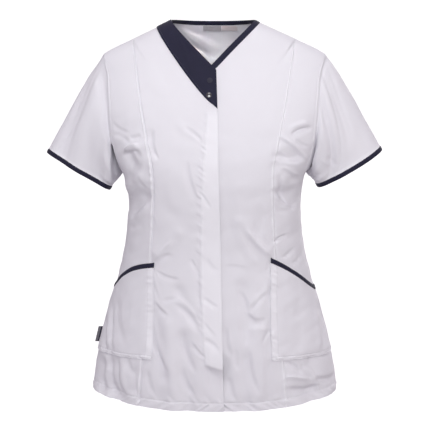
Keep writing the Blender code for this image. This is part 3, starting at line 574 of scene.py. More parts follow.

# %% [markdown]
# ## Creases
# Worn cloth creases where it is pulled: from the armpit across the chest, from the pocket corners, and
# down from the hips. Each crease is a line with a bow, a soft spread and a height, above or below the
# cloth, and one flank may be steeper than the other. Its lengths are in millimetres, as a maker would
# mark them on the cloth. The back isn't seen in the photograph, so it gets like ones where a back is
# pulled.

# %% Creases
Crease = namedtuple("Crease", "x0 drop0 x1 drop1 bow spread height skew")
FRONT_CREASES = records(
    Crease,
    # The wearer's right armpit and side panel
    (-178, 182, -150, 196, 3, 6.0, -1.2, 0.2),
    (-176, 200, -148, 214, -3, 6.0, -1.2, 0.0),
    (-156, 227, -130, 216, -3, 3.8, 3.4, 0.4),
    (-156, 238, -131, 228, -3, 8.0, -4.2, 0.5),
    (-152, 282, -146, 240, 2, 14.0, -3.0, 0.0),
    (-146, 205, -128, 200, 1, 5.0, -1.2, 0.2),
    (-140, 284, -121, 254, 2, 8.5, 1.6, 0.3),
    (-133, 272, -122, 294, 2, 5.0, -1.2, 0.3),
    (-150, 346, -117, 308, -3, 16.5, -6.0, -0.4),
    (-138, 352, -116, 322, 3, 6.0, 1.4, 0.0),
    (-150, 372, -128, 360, 2, 7.0, -1.2, 0.0),
    # The right chest
    (-106, 192, -98, 238, 4, 7.2, -2.4, 0.5),
    (-112, 69, -81, 128, 10, 16.0, 1.0, 0.0),
    (-45, 186, -18, 206, -2, 4.0, -1.7, 0.3),
    (-60, 178, -22, 196, 4, 10.0, 0.8, 0.0),
    (-43, 244, -24, 315, 4, 7.0, -1.4, 0.4),
    (-18, 300, -2, 324, 0, 3.5, -1.2, 0.2),
    (-90, 300, -60, 345, 6, 15.0, -0.8, 0.0),
    # The right waist and hip
    (-102, 428, -66, 385, -3, 6.5, 1.4, 0.4),
    (-108, 436, -72, 412, -4, 6.0, -1.4, 0.2),
    (-100, 444, -60, 456, 3, 5.0, -1.3, 0.4),
    (-36, 420, -20, 444, 2, 4.0, -1.1, 0.3),
    (-102, 500, -80, 520, 3, 4.2, -2.0, 0.5),
    (-86, 497, -56, 490, -2, 5.0, -1.1, 0.2),
    (-72, 486, -26, 524, -6, 5.5, 1.5, 0.4),
    (-66, 500, -22, 548, -6, 6.0, -1.8, 0.3),
    (-107, 540, -80, 622, 6, 5.5, -2.6, 0.5),
    (-94, 560, -70, 622, 4, 8.0, 1.2, 0.2),
    (-54, 548, -28, 622, 6, 6.0, -2.0, -0.3),
    (-52, 615, -32, 662, 4, 6.0, -2.2, 0.3),
    (-74, 585, -63, 670, 3, 9.0, 1.2, 0.0),
    (-34, 570, -12, 592, 2, 3.8, -1.8, 0.4),
    (-24, 424, -18, 520, 2, 4.5, -1.2, 0.5),
    (-14, 488, 10, 504, 1, 4.6, -1.2, 0.3),
    (-12, 562, 12, 580, -2, 6.0, -1.5, 0.3),
    (-10, 420, 8, 440, 2, 8.0, -0.9, 0.2),
    (-12, 534, 6, 554, 1, 4.0, -1.1, 0.3),
    # The right pocket and corner
    (-199, 545, -199, 606, 1, 3.6, -2.0, 0.3),
    (-186, 512, -188, 606, -2, 4.0, -2.2, 0.4),
    (-192, 530, -193, 602, 0, 3.5, 1.4, 0.0),
    (-175, 499, -160, 584, 5, 10.0, -1.4, 0.2),
    (-205, 616, -210, 676, 2, 8.5, -5.2, 0.2),
    (-190, 612, -183, 676, 4, 8.0, -5.0, 0.4),
    (-199, 612, -197, 640, 0, 4.5, 1.6, 0.0),
    (-172, 606, -168, 672, 3, 5.2, -2.4, 0.3),
    (-153, 602, -143, 632, 2, 5.0, -1.8, 0.4),
    (-162, 612, -156, 672, 2, 6.0, 1.6, 0.2),
    (-139, 615, -134, 672, 2, 5.0, -1.4, 0.3),
    (-114, 624, -105, 664, 2, 5.0, -1.4, 0.3),
    (-212, 668, -162, 674, 2, 18.0, -4.4, 0.0),
    # The wearer's left armpit and side panel
    (142, 196, 176, 187, -3, 4.5, -2.6, 0.5),
    (140, 186, 172, 178, -2, 5.5, 1.2, 0.0),
    (148, 206, 171, 221, 2, 4.0, -1.3, 0.2),
    (118, 198, 170, 246, -4, 4.2, 2.6, -0.4),
    (114, 232, 158, 238, 3, 13.5, -5.6, -0.45),
    (126, 254, 156, 276, -3, 5.0, 1.5, 0.2),
    (122, 268, 138, 328, 3, 6.0, -2.4, 0.4),
    (118, 298, 150, 328, -3, 13.5, -4.8, -0.4),
    (120, 334, 154, 326, 4, 6.0, -1.2, 0.2),
    (112, 390, 134, 380, -2, 3.8, -1.8, 0.4),
    (128, 420, 146, 408, 1, 4.5, -1.4, 0.3),
    (146, 434, 160, 424, 1, 4.5, -1.4, 0.3),
    # The left chest and waist
    (89, 321, 80, 384, -4, 10.0, -1.0, 0.3),
    (62, 362, 105, 416, 2, 5.0, 2.0, 0.3),
    (74, 356, 106, 402, 3, 7.0, -1.3, 0.2),
    (43, 356, 80, 428, 4, 8.5, 1.1, 0.2),
    (24, 432, 63, 437, -2, 6.0, -0.7, 0.5),
    (26, 200, 42, 186, 0, 8.0, -0.6, 0.0),
    # The left hip
    (51, 476, 65, 518, -3, 5.0, -1.6, 0.4),
    (66, 512, 98, 480, -1, 3.8, -2.4, 0.5),
    (80, 497, 103, 454, 4, 6.0, 1.3, 0.2),
    (64, 520, 92, 530, 5, 8.5, -2.6, 0.4),
    (66, 545, 100, 545, -2, 6.0, 0.8, 0.3),
    (91, 568, 106, 544, -1, 3.6, -1.8, 0.4),
    (66, 578, 84, 658, 4, 7.0, -2.0, 0.4),
    (44, 580, 48, 615, 1, 5.5, -1.2, 0.2),
    (27, 540, 36, 592, 3, 5.0, -1.5, 0.4),
    (34, 632, 46, 675, 2, 6.0, -1.6, 0.3),
    (93, 572, 95, 672, 2, 6.0, 1.0, 0.0),
    # The left pocket and corner
    (192, 512, 206, 596, -2, 4.2, -2.2, 0.4),
    (184, 520, 196, 600, -3, 5.0, 1.2, 0.2),
    (150, 500, 158, 590, -3, 12.0, -1.2, 0.2),
    (130, 604, 163, 629, -3, 4.6, -2.4, 0.4),
    (132, 632, 180, 646, -3, 4.2, 2.6, 0.4),
    (138, 656, 200, 662, 2, 8.0, -3.6, 0.3),
    (176, 622, 202, 674, -2, 4.0, 2.0, 0.3),
    (192, 646, 221, 654, 1, 6.5, -3.4, 0.2),
    (160, 606, 168, 622, 0, 3.6, -1.8, 0.2),
    (146, 672, 214, 666, 2, 17.0, -2.6, 0.0),
)
BACK_CREASES = records(
    Crease,
    (-150, 215, -70, 160, 10, 9.0, 2.0, 0.3),
    (-158, 240, -85, 190, 8, 8.0, -2.2, 0.3),
    (152, 225, 74, 168, -10, 9.0, 2.0, 0.3),
    (156, 252, 90, 204, -7, 7.5, -2.1, 0.2),
    (-60, 70, -52, 150, 4, 12.0, -1.2, 0.2),
    (58, 82, 50, 140, -3, 11.0, -1.0, 0.2),
    (-62, 22, 12, 58, 2, 10.5, -1.8, 0.3),
    (-50, 42, -14, 64, 1, 4.6, 1.4, 0.3),
    (-150, 300, -90, 330, 6, 7.0, -2.2, 0.4),
    (148, 312, 84, 340, -6, 7.5, -2.1, 0.4),
    (-152, 352, -30, 372, 8, 6.5, -2.6, 0.4),
    (150, 366, 40, 380, -7, 7.0, -2.4, 0.4),
    (-120, 378, -20, 394, 5, 6.0, 2.0, 0.2),
    (128, 394, 10, 402, -5, 6.0, 1.8, 0.2),
    (-140, 420, -50, 410, -6, 6.5, -2.0, 0.3),
    (138, 430, 60, 420, 6, 6.0, -1.8, 0.3),
    (-112, 440, -120, 640, 6, 9.0, -2.2, 0.3),
    (-58, 480, -60, 660, -4, 8.5, -2.0, 0.4),
    (2, 470, 4, 640, 5, 9.0, 1.6, 0.2),
    (62, 490, 70, 670, 5, 8.5, -2.2, 0.3),
    (120, 450, 130, 620, -6, 9.0, -2.0, 0.4),
    (-176, 520, -190, 680, 3, 7.0, 2.0, 0.2),
    (178, 530, 190, 680, -3, 7.0, 2.0, 0.2),
)
CREASES = {"front": in_metres(FRONT_CREASES, 7), "back": in_metres(BACK_CREASES, 7)}
print("creases:", {face: len(rows) for face, rows in CREASES.items()})

# %% How a crease moves the cloth
CRISP = 0.82
DEEP = 1.65
END_SOFT = 0.25
END_MOST = 0.35


def crease_lift(crease, x, drop):
    """How far one crease moves the cloth: a bowed line with soft ends and one steeper flank."""
    dx, dy = crease.x1 - crease.x0, crease.drop1 - crease.drop0
    length = math.hypot(dx, dy)
    along = ((x - crease.x0) * dx + (drop - crease.drop0) * dy) / length**2
    across = ((drop - crease.drop0) * dx - (x - crease.x0) * dy) / length
    held = np.clip(along, 0, 1)
    across = across - 4 * crease.bow * held * (1 - held)
    past = (along - held) * length
    width = crease.spread * CRISP
    spread = width * (1 + crease.skew * np.sign(across) * np.minimum(np.abs(across) / width, 1))
    end = np.minimum(END_MOST, crease.spread / length)
    taper = smooth_step((along + end) / (END_SOFT + end)) * smooth_step((1 + end - along) / (END_SOFT + end))
    return DEEP * crease.height * np.exp(-((across / spread) ** 2) - (past / crease.spread) ** 2) * taper


def creases_on(grid):
    return sum(crease_lift(crease, grid.x, grid.drop) for crease in CREASES[grid.face])


deepest = float(np.abs(creases_on(right_front)).max())
print("creases move the right front by up to", round(deepest / MM, 1), "mm")

# %% [markdown]
# ## Puckers and slow waves
# Thread draws cloth up a little at each stitch, so a sewn line is never smooth. A row of uneven small
# bumps comes from random heights joined by a soft curve, always from the same seed. Much longer and
# lower waves take away the look of a perfect machine surface.

# %% Pucker functions
def uneven(lengths, pitch, seed):
    """A soft uneven wave along a length, mostly between -1 and 1, with bumps about a pitch apart."""
    lengths = np.asarray(lengths, float)
    knots = np.random.default_rng(seed).uniform(-1, 1, int(lengths.max() / pitch * 2) + 8)
    at = lengths / pitch * 2 + 2
    k = np.clip(at.astype(int), 0, len(knots) - 2)
    t = smooth_step(at - k)
    return knots[k] * (1 - t) + knots[k + 1] * t


def bell(distance, spread):
    return np.exp(-((distance / spread) ** 2))


def slow_waves(u, v, seed, count=7, shortest=0.030, longest=0.110):
    """Low waves in many directions, about 1 high together."""
    random = np.random.default_rng(seed)
    total = 0
    for _ in range(count):
        angle, phase = random.uniform(0, 2 * math.pi, 2)
        pitch = random.uniform(shortest, longest)
        total = total + np.sin(2 * math.pi * (u * math.cos(angle) + v * math.sin(angle)) / pitch + phase)
    return total / math.sqrt(count)


print("puckers:", np.round(uneven(np.arange(6) * 4 * MM, 7 * MM, 1), 2).tolist())

# %% [markdown]
# ## Relief of the sewing
# The princess seams stand up as a narrow ridge, because both seam allowances lie under them. The hem,
# the armhole edge and the hidden closing are two or three layers thick and stitched down, so they lie a
# little proud, pull into puckers at the stitches, and look whiter, since less shade shows through. How
# many layers there are is kept as a value on each point for the cloth's material.

# %% Relief of the fronts and back
HEM_BAND = 0.0150
HEM_STITCH_UP = HEM_BAND + 0.8 * MM
HEM_PROUD = 0.25 * MM
HEM_STITCH_DEEP = 0.75 * MM
HEM_ROPING = 1.30 * MM
HEM_DRAG = 1.10 * MM
ARMHOLE_BAND = 0.0065
ARMHOLE_PROUD = 0.5 * MM
ARMHOLE_PUCKER = 0.3 * MM
ARMHOLE_SEAM_DEEP = 0.9 * MM
SIDE_SEAM_DEEP = 0.7 * MM
RIDGES = {-1: 0.0017, 1: 0.0009}
GROOVE_SHARE = 1.15
PRINCESS_DRAG = 0.42 * MM
POCKET_DRAG = 1.5 * MM
POCKET_EDGE_SUNK = 0.5 * MM
POCKET_FOOT_SUNK = 0.9 * MM

Sewn = namedtuple("Sewn", "grid points normals ply")


def inside_span(positions, first, last, soft):
    """1 between two rows and 0 outside them, with soft ends."""
    return smooth_step((positions - first) / soft) * smooth_step((last - positions) / soft)


def above_row(grid, name):
    """How far each point lies above the hem or another row, along the cloth."""
    return grid.down[row_number(name)][None, :] - grid.down


def hem_relief(grid, free, seed):
    above = above_row(grid, "hem")
    inside = smooth_step((HEM_BAND - above) / (1.2 * MM))
    stitch = bell(above - HEM_STITCH_UP, 1.6 * MM) * (0.8 + 0.5 * uneven(grid.run, 12 * MM, seed + 2))
    roping = uneven(grid.run + above * 1.3, 12 * MM, seed) * bell(above - HEM_BAND * 0.50, HEM_BAND * 0.60)
    drag = uneven(grid.run - above * 0.5, 15 * MM, seed + 1) * bell(above - HEM_BAND - 4 * MM, 7 * MM)
    pulled = (HEM_ROPING * roping + HEM_DRAG * drag) * free
    return HEM_PROUD * inside - HEM_STITCH_DEEP * stitch + pulled, 0.35 * inside


def armhole_relief(grid, ends):
    """The stitched band along the armhole, which is the last column between shoulder and armpit."""
    first, last = row_index("shoulder point"), row_index("armpit")
    window = inside_span(grid.positions, first, last, 0.4)[:, None]
    relief, plies = 0, 0
    for distance, run in ends:
        inside = smooth_step((ARMHOLE_BAND - distance) / (1.5 * MM)) * window
        stitch = bell(distance - ARMHOLE_BAND, 1.5 * MM) * window
        pucker = uneven(run, 9 * MM, 31) * bell(distance - ARMHOLE_BAND, 4 * MM) * window
        relief = relief + ARMHOLE_PROUD * (inside - stitch) + ARMHOLE_PUCKER * pucker
        relief = relief - ARMHOLE_SEAM_DEEP * bell(distance, 1.3 * MM) * window
        plies = plies + 0.4 * inside
    return relief, plies


def edge_groove(grid, side_distance):
    """The groove of the shoulder and side seams, the same on both cloths that meet there."""
    first, last = row_index("shoulder point"), row_index("armpit")
    seamed = smooth_step((first - grid.positions) / 0.3) + smooth_step((grid.positions - last) / 0.3)
    return -SIDE_SEAM_DEEP * bell(side_distance, 1.5 * MM) * seamed[:, None]


def princess_relief(grid, seed):
    """The ridge of the princess seam with a groove beside it, fading out behind the pocket."""
    away = grid.run - grid.seam[:, None]
    mouth, foot = row_index("pocket mouth"), row_index("pocket foot")
    window = smooth_step((grid.positions - row_index("princess top")) / 0.5)
    window = (window - inside_span(grid.positions, mouth, foot, 0.06))[:, None]
    below_arm = smooth_step((grid.drop - 0.16) / 0.08)
    pucker = uneven(grid.down, 14 * MM, seed)
    image_right = away * -grid.side
    ridge = RIDGES[grid.side] * bell(away, 2.1 * MM) * (0.85 + 0.3 * pucker)
    groove = -GROOVE_SHARE * RIDGES[grid.side] * bell(image_right + 3.9 * MM, 1.5 * MM)
    drag = PRINCESS_DRAG * pucker * bell(away, 9 * MM) * below_arm
    return (ridge + groove + drag) * window, bell(away, 2.4 * MM) * window


def pocket_relief(grid, seed):
    """Drag of the pocket's stitching on the cloth round its inner edge, and the crease under its foot."""
    inset = column_of(GUIDES, "pocket_inset", grid.drop)
    away = grid.run - (grid.seam[:, None] - inset)
    mouth, foot = row_index("pocket mouth"), row_index("pocket foot")
    window = smooth_step((grid.positions - mouth + 0.15) / 0.15)
    window = window * smooth_step((foot + 0.2 - grid.positions) / 0.2)
    pucker = uneven(grid.down, 12 * MM, seed)
    beside = bell(away + 4 * MM, 6 * MM) * np.clip(pucker + 0.2, -1, 0.4)
    drawn = POCKET_DRAG * beside - POCKET_EDGE_SUNK * bell(away, 1.6 * MM)
    under = bell(above_row(grid, "pocket foot") + 1.0 * MM, 2.4 * MM) * smooth_step(away / (2 * MM) + 0.5)
    return drawn * window[:, None] - POCKET_FOOT_SUNK * under


print("hem stitched", round(HEM_STITCH_UP / MM, 1), "mm up, armhole", round(ARMHOLE_BAND / MM, 1), "mm in")

# %% The hidden closing
FlyPlace = namedtuple("FlyPlace", "drop x")
FLY_LINE = records(
    FlyPlace,
    (0.140, -0.0090),
    (0.190, -0.0115),
    (0.310, -0.0190),
    (0.480, -0.0195),
    (0.560, -0.0160),
    (0.620, -0.0110),
    (0.700, -0.0100),
)
FLY_STITCH_IN = 0.6 * MM
FLY_FOOT_X = -0.0120
FLY_FOOT_SLOPE = 0.28
FLY_FOOT_DROP = 0.607
FLY_TOP_DROP = 0.150
FLY_PROUD = 0.0009
FLY_STITCH_DEEP = 0.9 * MM
FLY_SWELL = 0.45 * MM
FLY_PUCKER = 1.10 * MM
FLY_SLANT = 0.80 * MM
EDGE_TURN = 0.9 * MM
EDGE_WAVE = 0.22 * MM
GAPE_OUT = 0.0032
GAPE_IN = 0.0060
GAPE_RISE = 0.045
GAPE_FALL = 0.018
GAPE_RETURN = 0.042
GAPE_X = 0.010
GAPE_CLEAR = 0.0092
GAPE_WIDE = 0.026
GAPE_HIGH = 0.032


def fly_line(drop):
    """Where the closing's inner stitch line lies at each drop."""
    return column_of(FLY_LINE, "x", drop)


def fly_foot(x):
    """Drop at which the closing's stitched foot crosses a given x."""
    return FLY_FOOT_DROP + (x - FLY_FOOT_X) * FLY_FOOT_SLOPE


def gape(past, below_foot):
    """The free edge opens under the closing's foot: the cloth stands out above it and falls in below it."""
    fall = GAPE_FALL * np.clip(0.35 + past / 0.03, 0.35, 1.3)
    standing = GAPE_OUT * smooth_step(1 + below_foot / GAPE_RISE)
    fallen = GAPE_OUT - (GAPE_OUT + GAPE_IN) * (1 - (1 - np.clip(below_foot / fall, 0, 1)) ** 2)
    fallen = fallen * (1 - smooth_step((below_foot - fall) / GAPE_RETURN))
    return np.where(below_foot < 0, standing, fallen) * smooth_step((past + 2 * MM) / (12 * MM))


def fly_relief(grid):
    """The hidden closing: a proud strip at the front edge, puckered at its stitching and open at its foot."""
    past = grid.x - fly_line(grid.drop)
    to_foot = fly_foot(grid.x) - grid.drop
    under_top = smooth_step((grid.drop - FLY_TOP_DROP) / 0.02)
    inside = smooth_step(past / (1.5 * MM) + 0.5) * smooth_step(to_foot / (2.4 * MM) + 0.5) * under_top
    window = smooth_step((FLY_FOOT_DROP - grid.drop) / 0.004) * under_top
    pucker = uneven(grid.down, 10 * MM, 51)
    slant = uneven(grid.down + 0.6 * past, 24 * MM, 52)
    outside = 1 - 0.40 * smooth_step(past / (4 * MM) + 0.5)
    relief = FLY_PROUD * inside - FLY_STITCH_DEEP * bell(past - FLY_STITCH_IN, 1.5 * MM) * window
    relief = relief + FLY_SWELL * bell(past - 3.2 * MM, 1.6 * MM) * window
    drawn = FLY_PUCKER * pucker * bell(past, 6 * MM) + FLY_SLANT * slant * bell(past + 2 * MM, 16 * MM)
    relief = relief + drawn * outside * window + gape(grid.x - FLY_FOOT_X, -to_foot)
    free_edge = front_edge_x(grid.drop) - grid.x
    wave = EDGE_WAVE * uneven(grid.down, 20 * MM, 53) * bell(free_edge, 5 * MM)
    return relief + wave - EDGE_TURN * bell(free_edge, 0.9 * MM), inside


def underlap_sink(grid):
    """How far the left front lies below the form, under and beside the right front's free edge."""
    past = grid.x - front_edge_x(grid.drop)
    first, last = UNDERLAP_RISE
    below_foot = grid.drop - fly_foot(GAPE_X) - GAPE_FALL
    under_gape = bell(grid.x - GAPE_X, GAPE_WIDE) * bell(below_foot, GAPE_HIGH)
    return (UNDERLAP_SINK + GAPE_CLEAR * under_gape) * (1 - smooth_step((past - first) / (last - first)))


print("foot of the closing at", round(fly_foot(FLY_FOOT_X), 3), "m below the neck point")

# %% Sewn panels
SEAM_HOLD = 0.007
BODY_WAVES = 0.40 * MM
BODY_RIPPLES = 0.42 * MM


def unit(vectors):
    return vectors / np.maximum(np.linalg.norm(vectors, axis=-1, keepdims=True), TINY)


def grid_normals(points, outward, seam=None):
    """Normals of a grid; a seam column that comes twice is smoothed over."""
    whole = points if seam is None else np.delete(points, seam + 1, axis=1)
    normals = unit(np.cross(np.gradient(whole, axis=0), np.gradient(whole, axis=1)) * outward)
    if seam is None:
        return normals
    normals = np.insert(normals, seam + 1, normals[:, seam], axis=1)
    shoulder = row_number("panel top") + 1
    normals[:shoulder, seam + 1 :] = normals[:shoulder, seam : seam + 1]
    return normals


def sew(grid, lift, ply, outward, seam=None):
    """The grid moved along its normals by a lift, held still at the side seam and the shoulder."""
    normals = grid_normals(grid.points, outward, seam)
    points = grid.points + normals * lift[..., None]
    return Sewn(grid, points, grid_normals(points, outward, seam), np.clip(ply, 0, 1))


def body_lift(grid, free, seed):
    """Creases and slow waves of plain cloth, held still where it is sewn at its side."""
    low = smooth_step((grid.drop - 0.12) / 0.1)
    aside = smooth_step((np.abs(grid.x) - 0.11) / 0.03)
    waves = BODY_WAVES * slow_waves(grid.x, grid.drop, seed + 4)
    ripples = BODY_RIPPLES * slow_waves(grid.x, grid.drop, seed + 5, 9, 0.016, 0.040) * (0.35 + 0.65 * aside)
    return (creases_on(grid) + (waves + ripples) * low) * free


def sew_front(grid, seed):
    side_distance = grid.total[:, None] - grid.run
    free = smooth_step(side_distance / SEAM_HOLD)
    hem, hem_ply = hem_relief(grid, free, seed)
    arm, arm_ply = armhole_relief(grid, [(side_distance, grid.down)])
    seam, seam_ply = princess_relief(grid, seed + 3)
    lift = body_lift(grid, free, seed) + pocket_relief(grid, seed + 5) * free
    lift = lift + hem + arm + seam + edge_groove(grid, side_distance)
    ply = hem_ply + arm_ply + seam_ply
    if grid.side < 0:
        fly, fly_ply = fly_relief(grid)
        lift, ply = lift + fly, ply + fly_ply
    else:
        lift = lift - underlap_sink(grid)
    return sew(grid, lift, ply, grid.side, SEAM_COLUMN)


def plain_front(grid, seed):
    """The same cloth with no sewing on it, which the pocket and the lapel lie over."""
    free = smooth_step((grid.total[:, None] - grid.run) / SEAM_HOLD)
    return sew(grid, body_lift(grid, free, seed), 0 * grid.run, grid.side, SEAM_COLUMN)


def sew_back(grid, seed):
    right_distance, left_distance = grid.run, grid.total[:, None] - grid.run
    side_distance = np.minimum(right_distance, left_distance)
    free = smooth_step(side_distance / SEAM_HOLD)
    hem, hem_ply = hem_relief(grid, free, seed)
    arm, arm_ply = armhole_relief(grid, [(right_distance, grid.down), (left_distance, grid.down)])
    lift = body_lift(grid, free, seed) + hem + arm + edge_groove(grid, side_distance)
    return sew(grid, lift, hem_ply + arm_ply, -1)


sewn_right = sew_front(right_front, 100)
sewn_left = sew_front(left_front, 200)
sewn_back = sew_back(whole_back, 300)
plain_right = plain_front(right_front, 100)
plain_left = plain_front(left_front, 200)
print("relief done:", sewn_right.points.shape[:2], sewn_left.points.shape[:2], sewn_back.points.shape[:2])

# %% [markdown]
# ## Finishes
# The white cloth is a plain weave of fine yarns. Its material reads the piece's own map, which is in
# metres along the yarns, so the weave runs with the grain whatever the shape does. A crossing wave makes
# the yarns, a stretched noise makes some of them thicker, and doubled cloth is a little whiter.

# %% Materials
YARN = 0.00042
SLUB_LONG = 180.0
SLUB_SHORT = 2600.0
WEAVE_SHARE = 0.35
CLOUD_SCALE = 22.0
SMOOTHER = 0.08
ROUGHER = 0.06
SHEEN_ROUGHNESS = 0.45
CLOTH_GLOSS = 0.30


def math_node(tree, operation, first, second=None):
    node = tree.nodes.new("ShaderNodeMath")
    node.operation = operation
    for socket, value in zip(node.inputs, (first, second)):
        if value is None:
            continue
        if isinstance(value, (int, float)):
            socket.default_value = value
        else:
            tree.links.new(value, socket)
    return node.outputs[0]


def noise_node(tree, vector, scale, detail=2.0, roughness=0.5):
    node = tree.nodes.new("ShaderNodeTexNoise")
    set_inputs(node, Scale=scale, Detail=detail, Roughness=roughness)
    tree.links.new(vector, node.inputs["Vector"])
    return node.outputs["Fac"]


def range_node(tree, value, low, high):
    """A value that runs from 0 to 1, taken to run from low to high."""
    node = set_inputs(tree.nodes.new("ShaderNodeMapRange"), To_Min=low, To_Max=high)
    tree.links.new(value, node.inputs["Value"])
    return node.outputs["Result"]


def colour_mix(tree, share, first, second):
    node = tree.nodes.new("ShaderNodeMix")
    node.data_type = "RGBA"
    first_socket, second_socket = [s for s in node.inputs if s.type == "RGBA"]
    for socket, value in ((first_socket, first), (second_socket, second)):
        if isinstance(value, tuple):
            socket.default_value = (*value, 1)
        else:
            tree.links.new(value, socket)
    tree.links.new(share, node.inputs["Factor"])
    return [s for s in node.outputs if s.type == "RGBA"][0]


def stretched(tree, vector, scale):
    node = set_inputs(tree.nodes.new("ShaderNodeMapping"), Scale=scale)
    tree.links.new(vector, node.inputs["Vector"])
    return node.outputs["Vector"]


def relief_from(tree, shader, height, distance):
    """Fine relief on a shader from a height, its depth given in metres."""
    bump = set_inputs(tree.nodes.new("ShaderNodeBump"), Distance=distance)
    tree.links.new(height, bump.inputs["Height"])
    tree.links.new(bump.outputs["Normal"], shader.inputs["Normal"])


def woven_height(tree, vector, yarn, twill):
    """Height of a weave: yarns along and across, on a slant for twill, with some thicker yarns."""
    split = tree.nodes.new("ShaderNodeSeparateXYZ")
    tree.links.new(vector, split.inputs["Vector"])
    turns = 2 * math.pi / yarn
    across = math_node(tree, "MULTIPLY", split.outputs["X"], turns)
    along = math_node(tree, "MULTIPLY", split.outputs["Y"], turns)
    if twill:
        across = math_node(tree, "ADD", across, along)
        along = math_node(tree, "MULTIPLY", along, 0.5)
    weave = math_node(tree, "MULTIPLY", math_node(tree, "SINE", across), math_node(tree, "SINE", along))
    slubs = noise_node(tree, stretched(tree, vector, (SLUB_LONG, SLUB_SHORT, 1.0)), 1.0)
    slubs_across = noise_node(tree, stretched(tree, vector, (SLUB_SHORT, SLUB_LONG, 1.0)), 1.0)
    yarns = math_node(tree, "ADD", slubs, slubs_across)
    return math_node(tree, "ADD", math_node(tree, "MULTIPLY", weave, WEAVE_SHARE), yarns), slubs


def cloth_material(name, single, double, yarn, roughness, sheen, depth, twill=False, mottle=0.06):
    """A woven cloth: its colour for one layer and for several, yarn pitch, gloss and relief."""
    material, tree, shader = new_material(name)
    coordinates = tree.nodes.new("ShaderNodeTexCoord").outputs["UV"]
    height, slubs = woven_height(tree, coordinates, yarn, twill)
    ply = tree.nodes.new("ShaderNodeAttribute")
    ply.attribute_name = "ply"
    base = colour_mix(tree, ply.outputs["Fac"], single, double)
    cloudy = noise_node(tree, coordinates, CLOUD_SCALE, 3.0)
    shade = range_node(tree, cloudy, 1 - mottle, 1 + mottle)
    shade = math_node(tree, "MULTIPLY", shade, range_node(tree, slubs, 1 - mottle, 1 + mottle))
    scaled = tree.nodes.new("ShaderNodeVectorMath")
    scaled.operation = "SCALE"
    tree.links.new(base, scaled.inputs[0])
    tree.links.new(shade, scaled.inputs["Scale"])
    tree.links.new(scaled.outputs["Vector"], shader.inputs["Base Color"])
    gloss = range_node(tree, slubs, roughness - SMOOTHER, roughness + ROUGHER)
    tree.links.new(gloss, shader.inputs["Roughness"])
    set_inputs(shader, Sheen_Weight=sheen, Sheen_Roughness=SHEEN_ROUGHNESS, Specular_IOR_Level=CLOTH_GLOSS)
    relief_from(tree, shader, height, depth)
    return material


WHITE = cloth_material(
    "white_poplin", (0.785, 0.777, 0.822), (0.850, 0.845, 0.888), YARN, 0.80, 0.10, 0.05 * MM, mottle=0.012
)
NAVY = cloth_material(
    "navy_twill", (0.0125, 0.0122, 0.0340), (0.017, 0.0165, 0.040), 0.00055, 0.74, 0.05, 0.10 * MM, True, 0.16
)
LABEL_GREY = cloth_material(
    "label_satin_grey", (0.380, 0.360, 0.390), (0.42, 0.40, 0.43), 0.0003, 0.5, 0.1, 0.03 * MM
)
LABEL_PALE = cloth_material(
    "label_satin_pale", (0.640, 0.575, 0.590), (0.68, 0.62, 0.63), 0.0003, 0.5, 0.1, 0.03 * MM
)
print("finishes:", [m.name for m in (WHITE, NAVY, LABEL_GREY, LABEL_PALE)])

# %% [markdown]
# ## A wall of cloth
# A Solidify modifier could thicken an open grid. Here the two skins and the rims are joined straight
# away, because the rims can then stay crisp where the cloth is cut or turned, while the skins shade
# smoothly. The map in metres and the layer value ride on every point.

# %% Building a piece of cloth
CLOTH = 0.0009
RIM_ANGLE = math.radians(48)
MERGE = 0.00002


def add_mesh(name, vertices, faces, material, uv, ply):
    """A smooth mesh object at the origin, with its map and layer value, crisp only at its rims."""
    mesh = bpy.data.meshes.new(name)
    mesh.from_pydata(vertices.tolist(), [], faces)
    corner_points = np.empty(len(mesh.loops), np.int64)
    mesh.loops.foreach_get("vertex_index", corner_points)
    mesh.uv_layers.new(name="UVMap").data.foreach_set("uv", uv[corner_points].astype(np.float32).ravel())
    mesh.attributes.new("ply", "FLOAT", "POINT").data.foreach_set("value", ply.astype(np.float32))
    bm = bmesh.new()
    bm.from_mesh(mesh)
    bmesh.ops.remove_doubles(bm, verts=bm.verts, dist=MERGE)
    bmesh.ops.dissolve_degenerate(bm, edges=bm.edges, dist=MERGE)
    bm.to_mesh(mesh)
    bm.free()
    mesh.materials.append(material)
    mesh.shade_smooth()
    mesh.set_sharp_from_angle(angle=RIM_ANGLE)
    return put_in_scene(name, mesh)


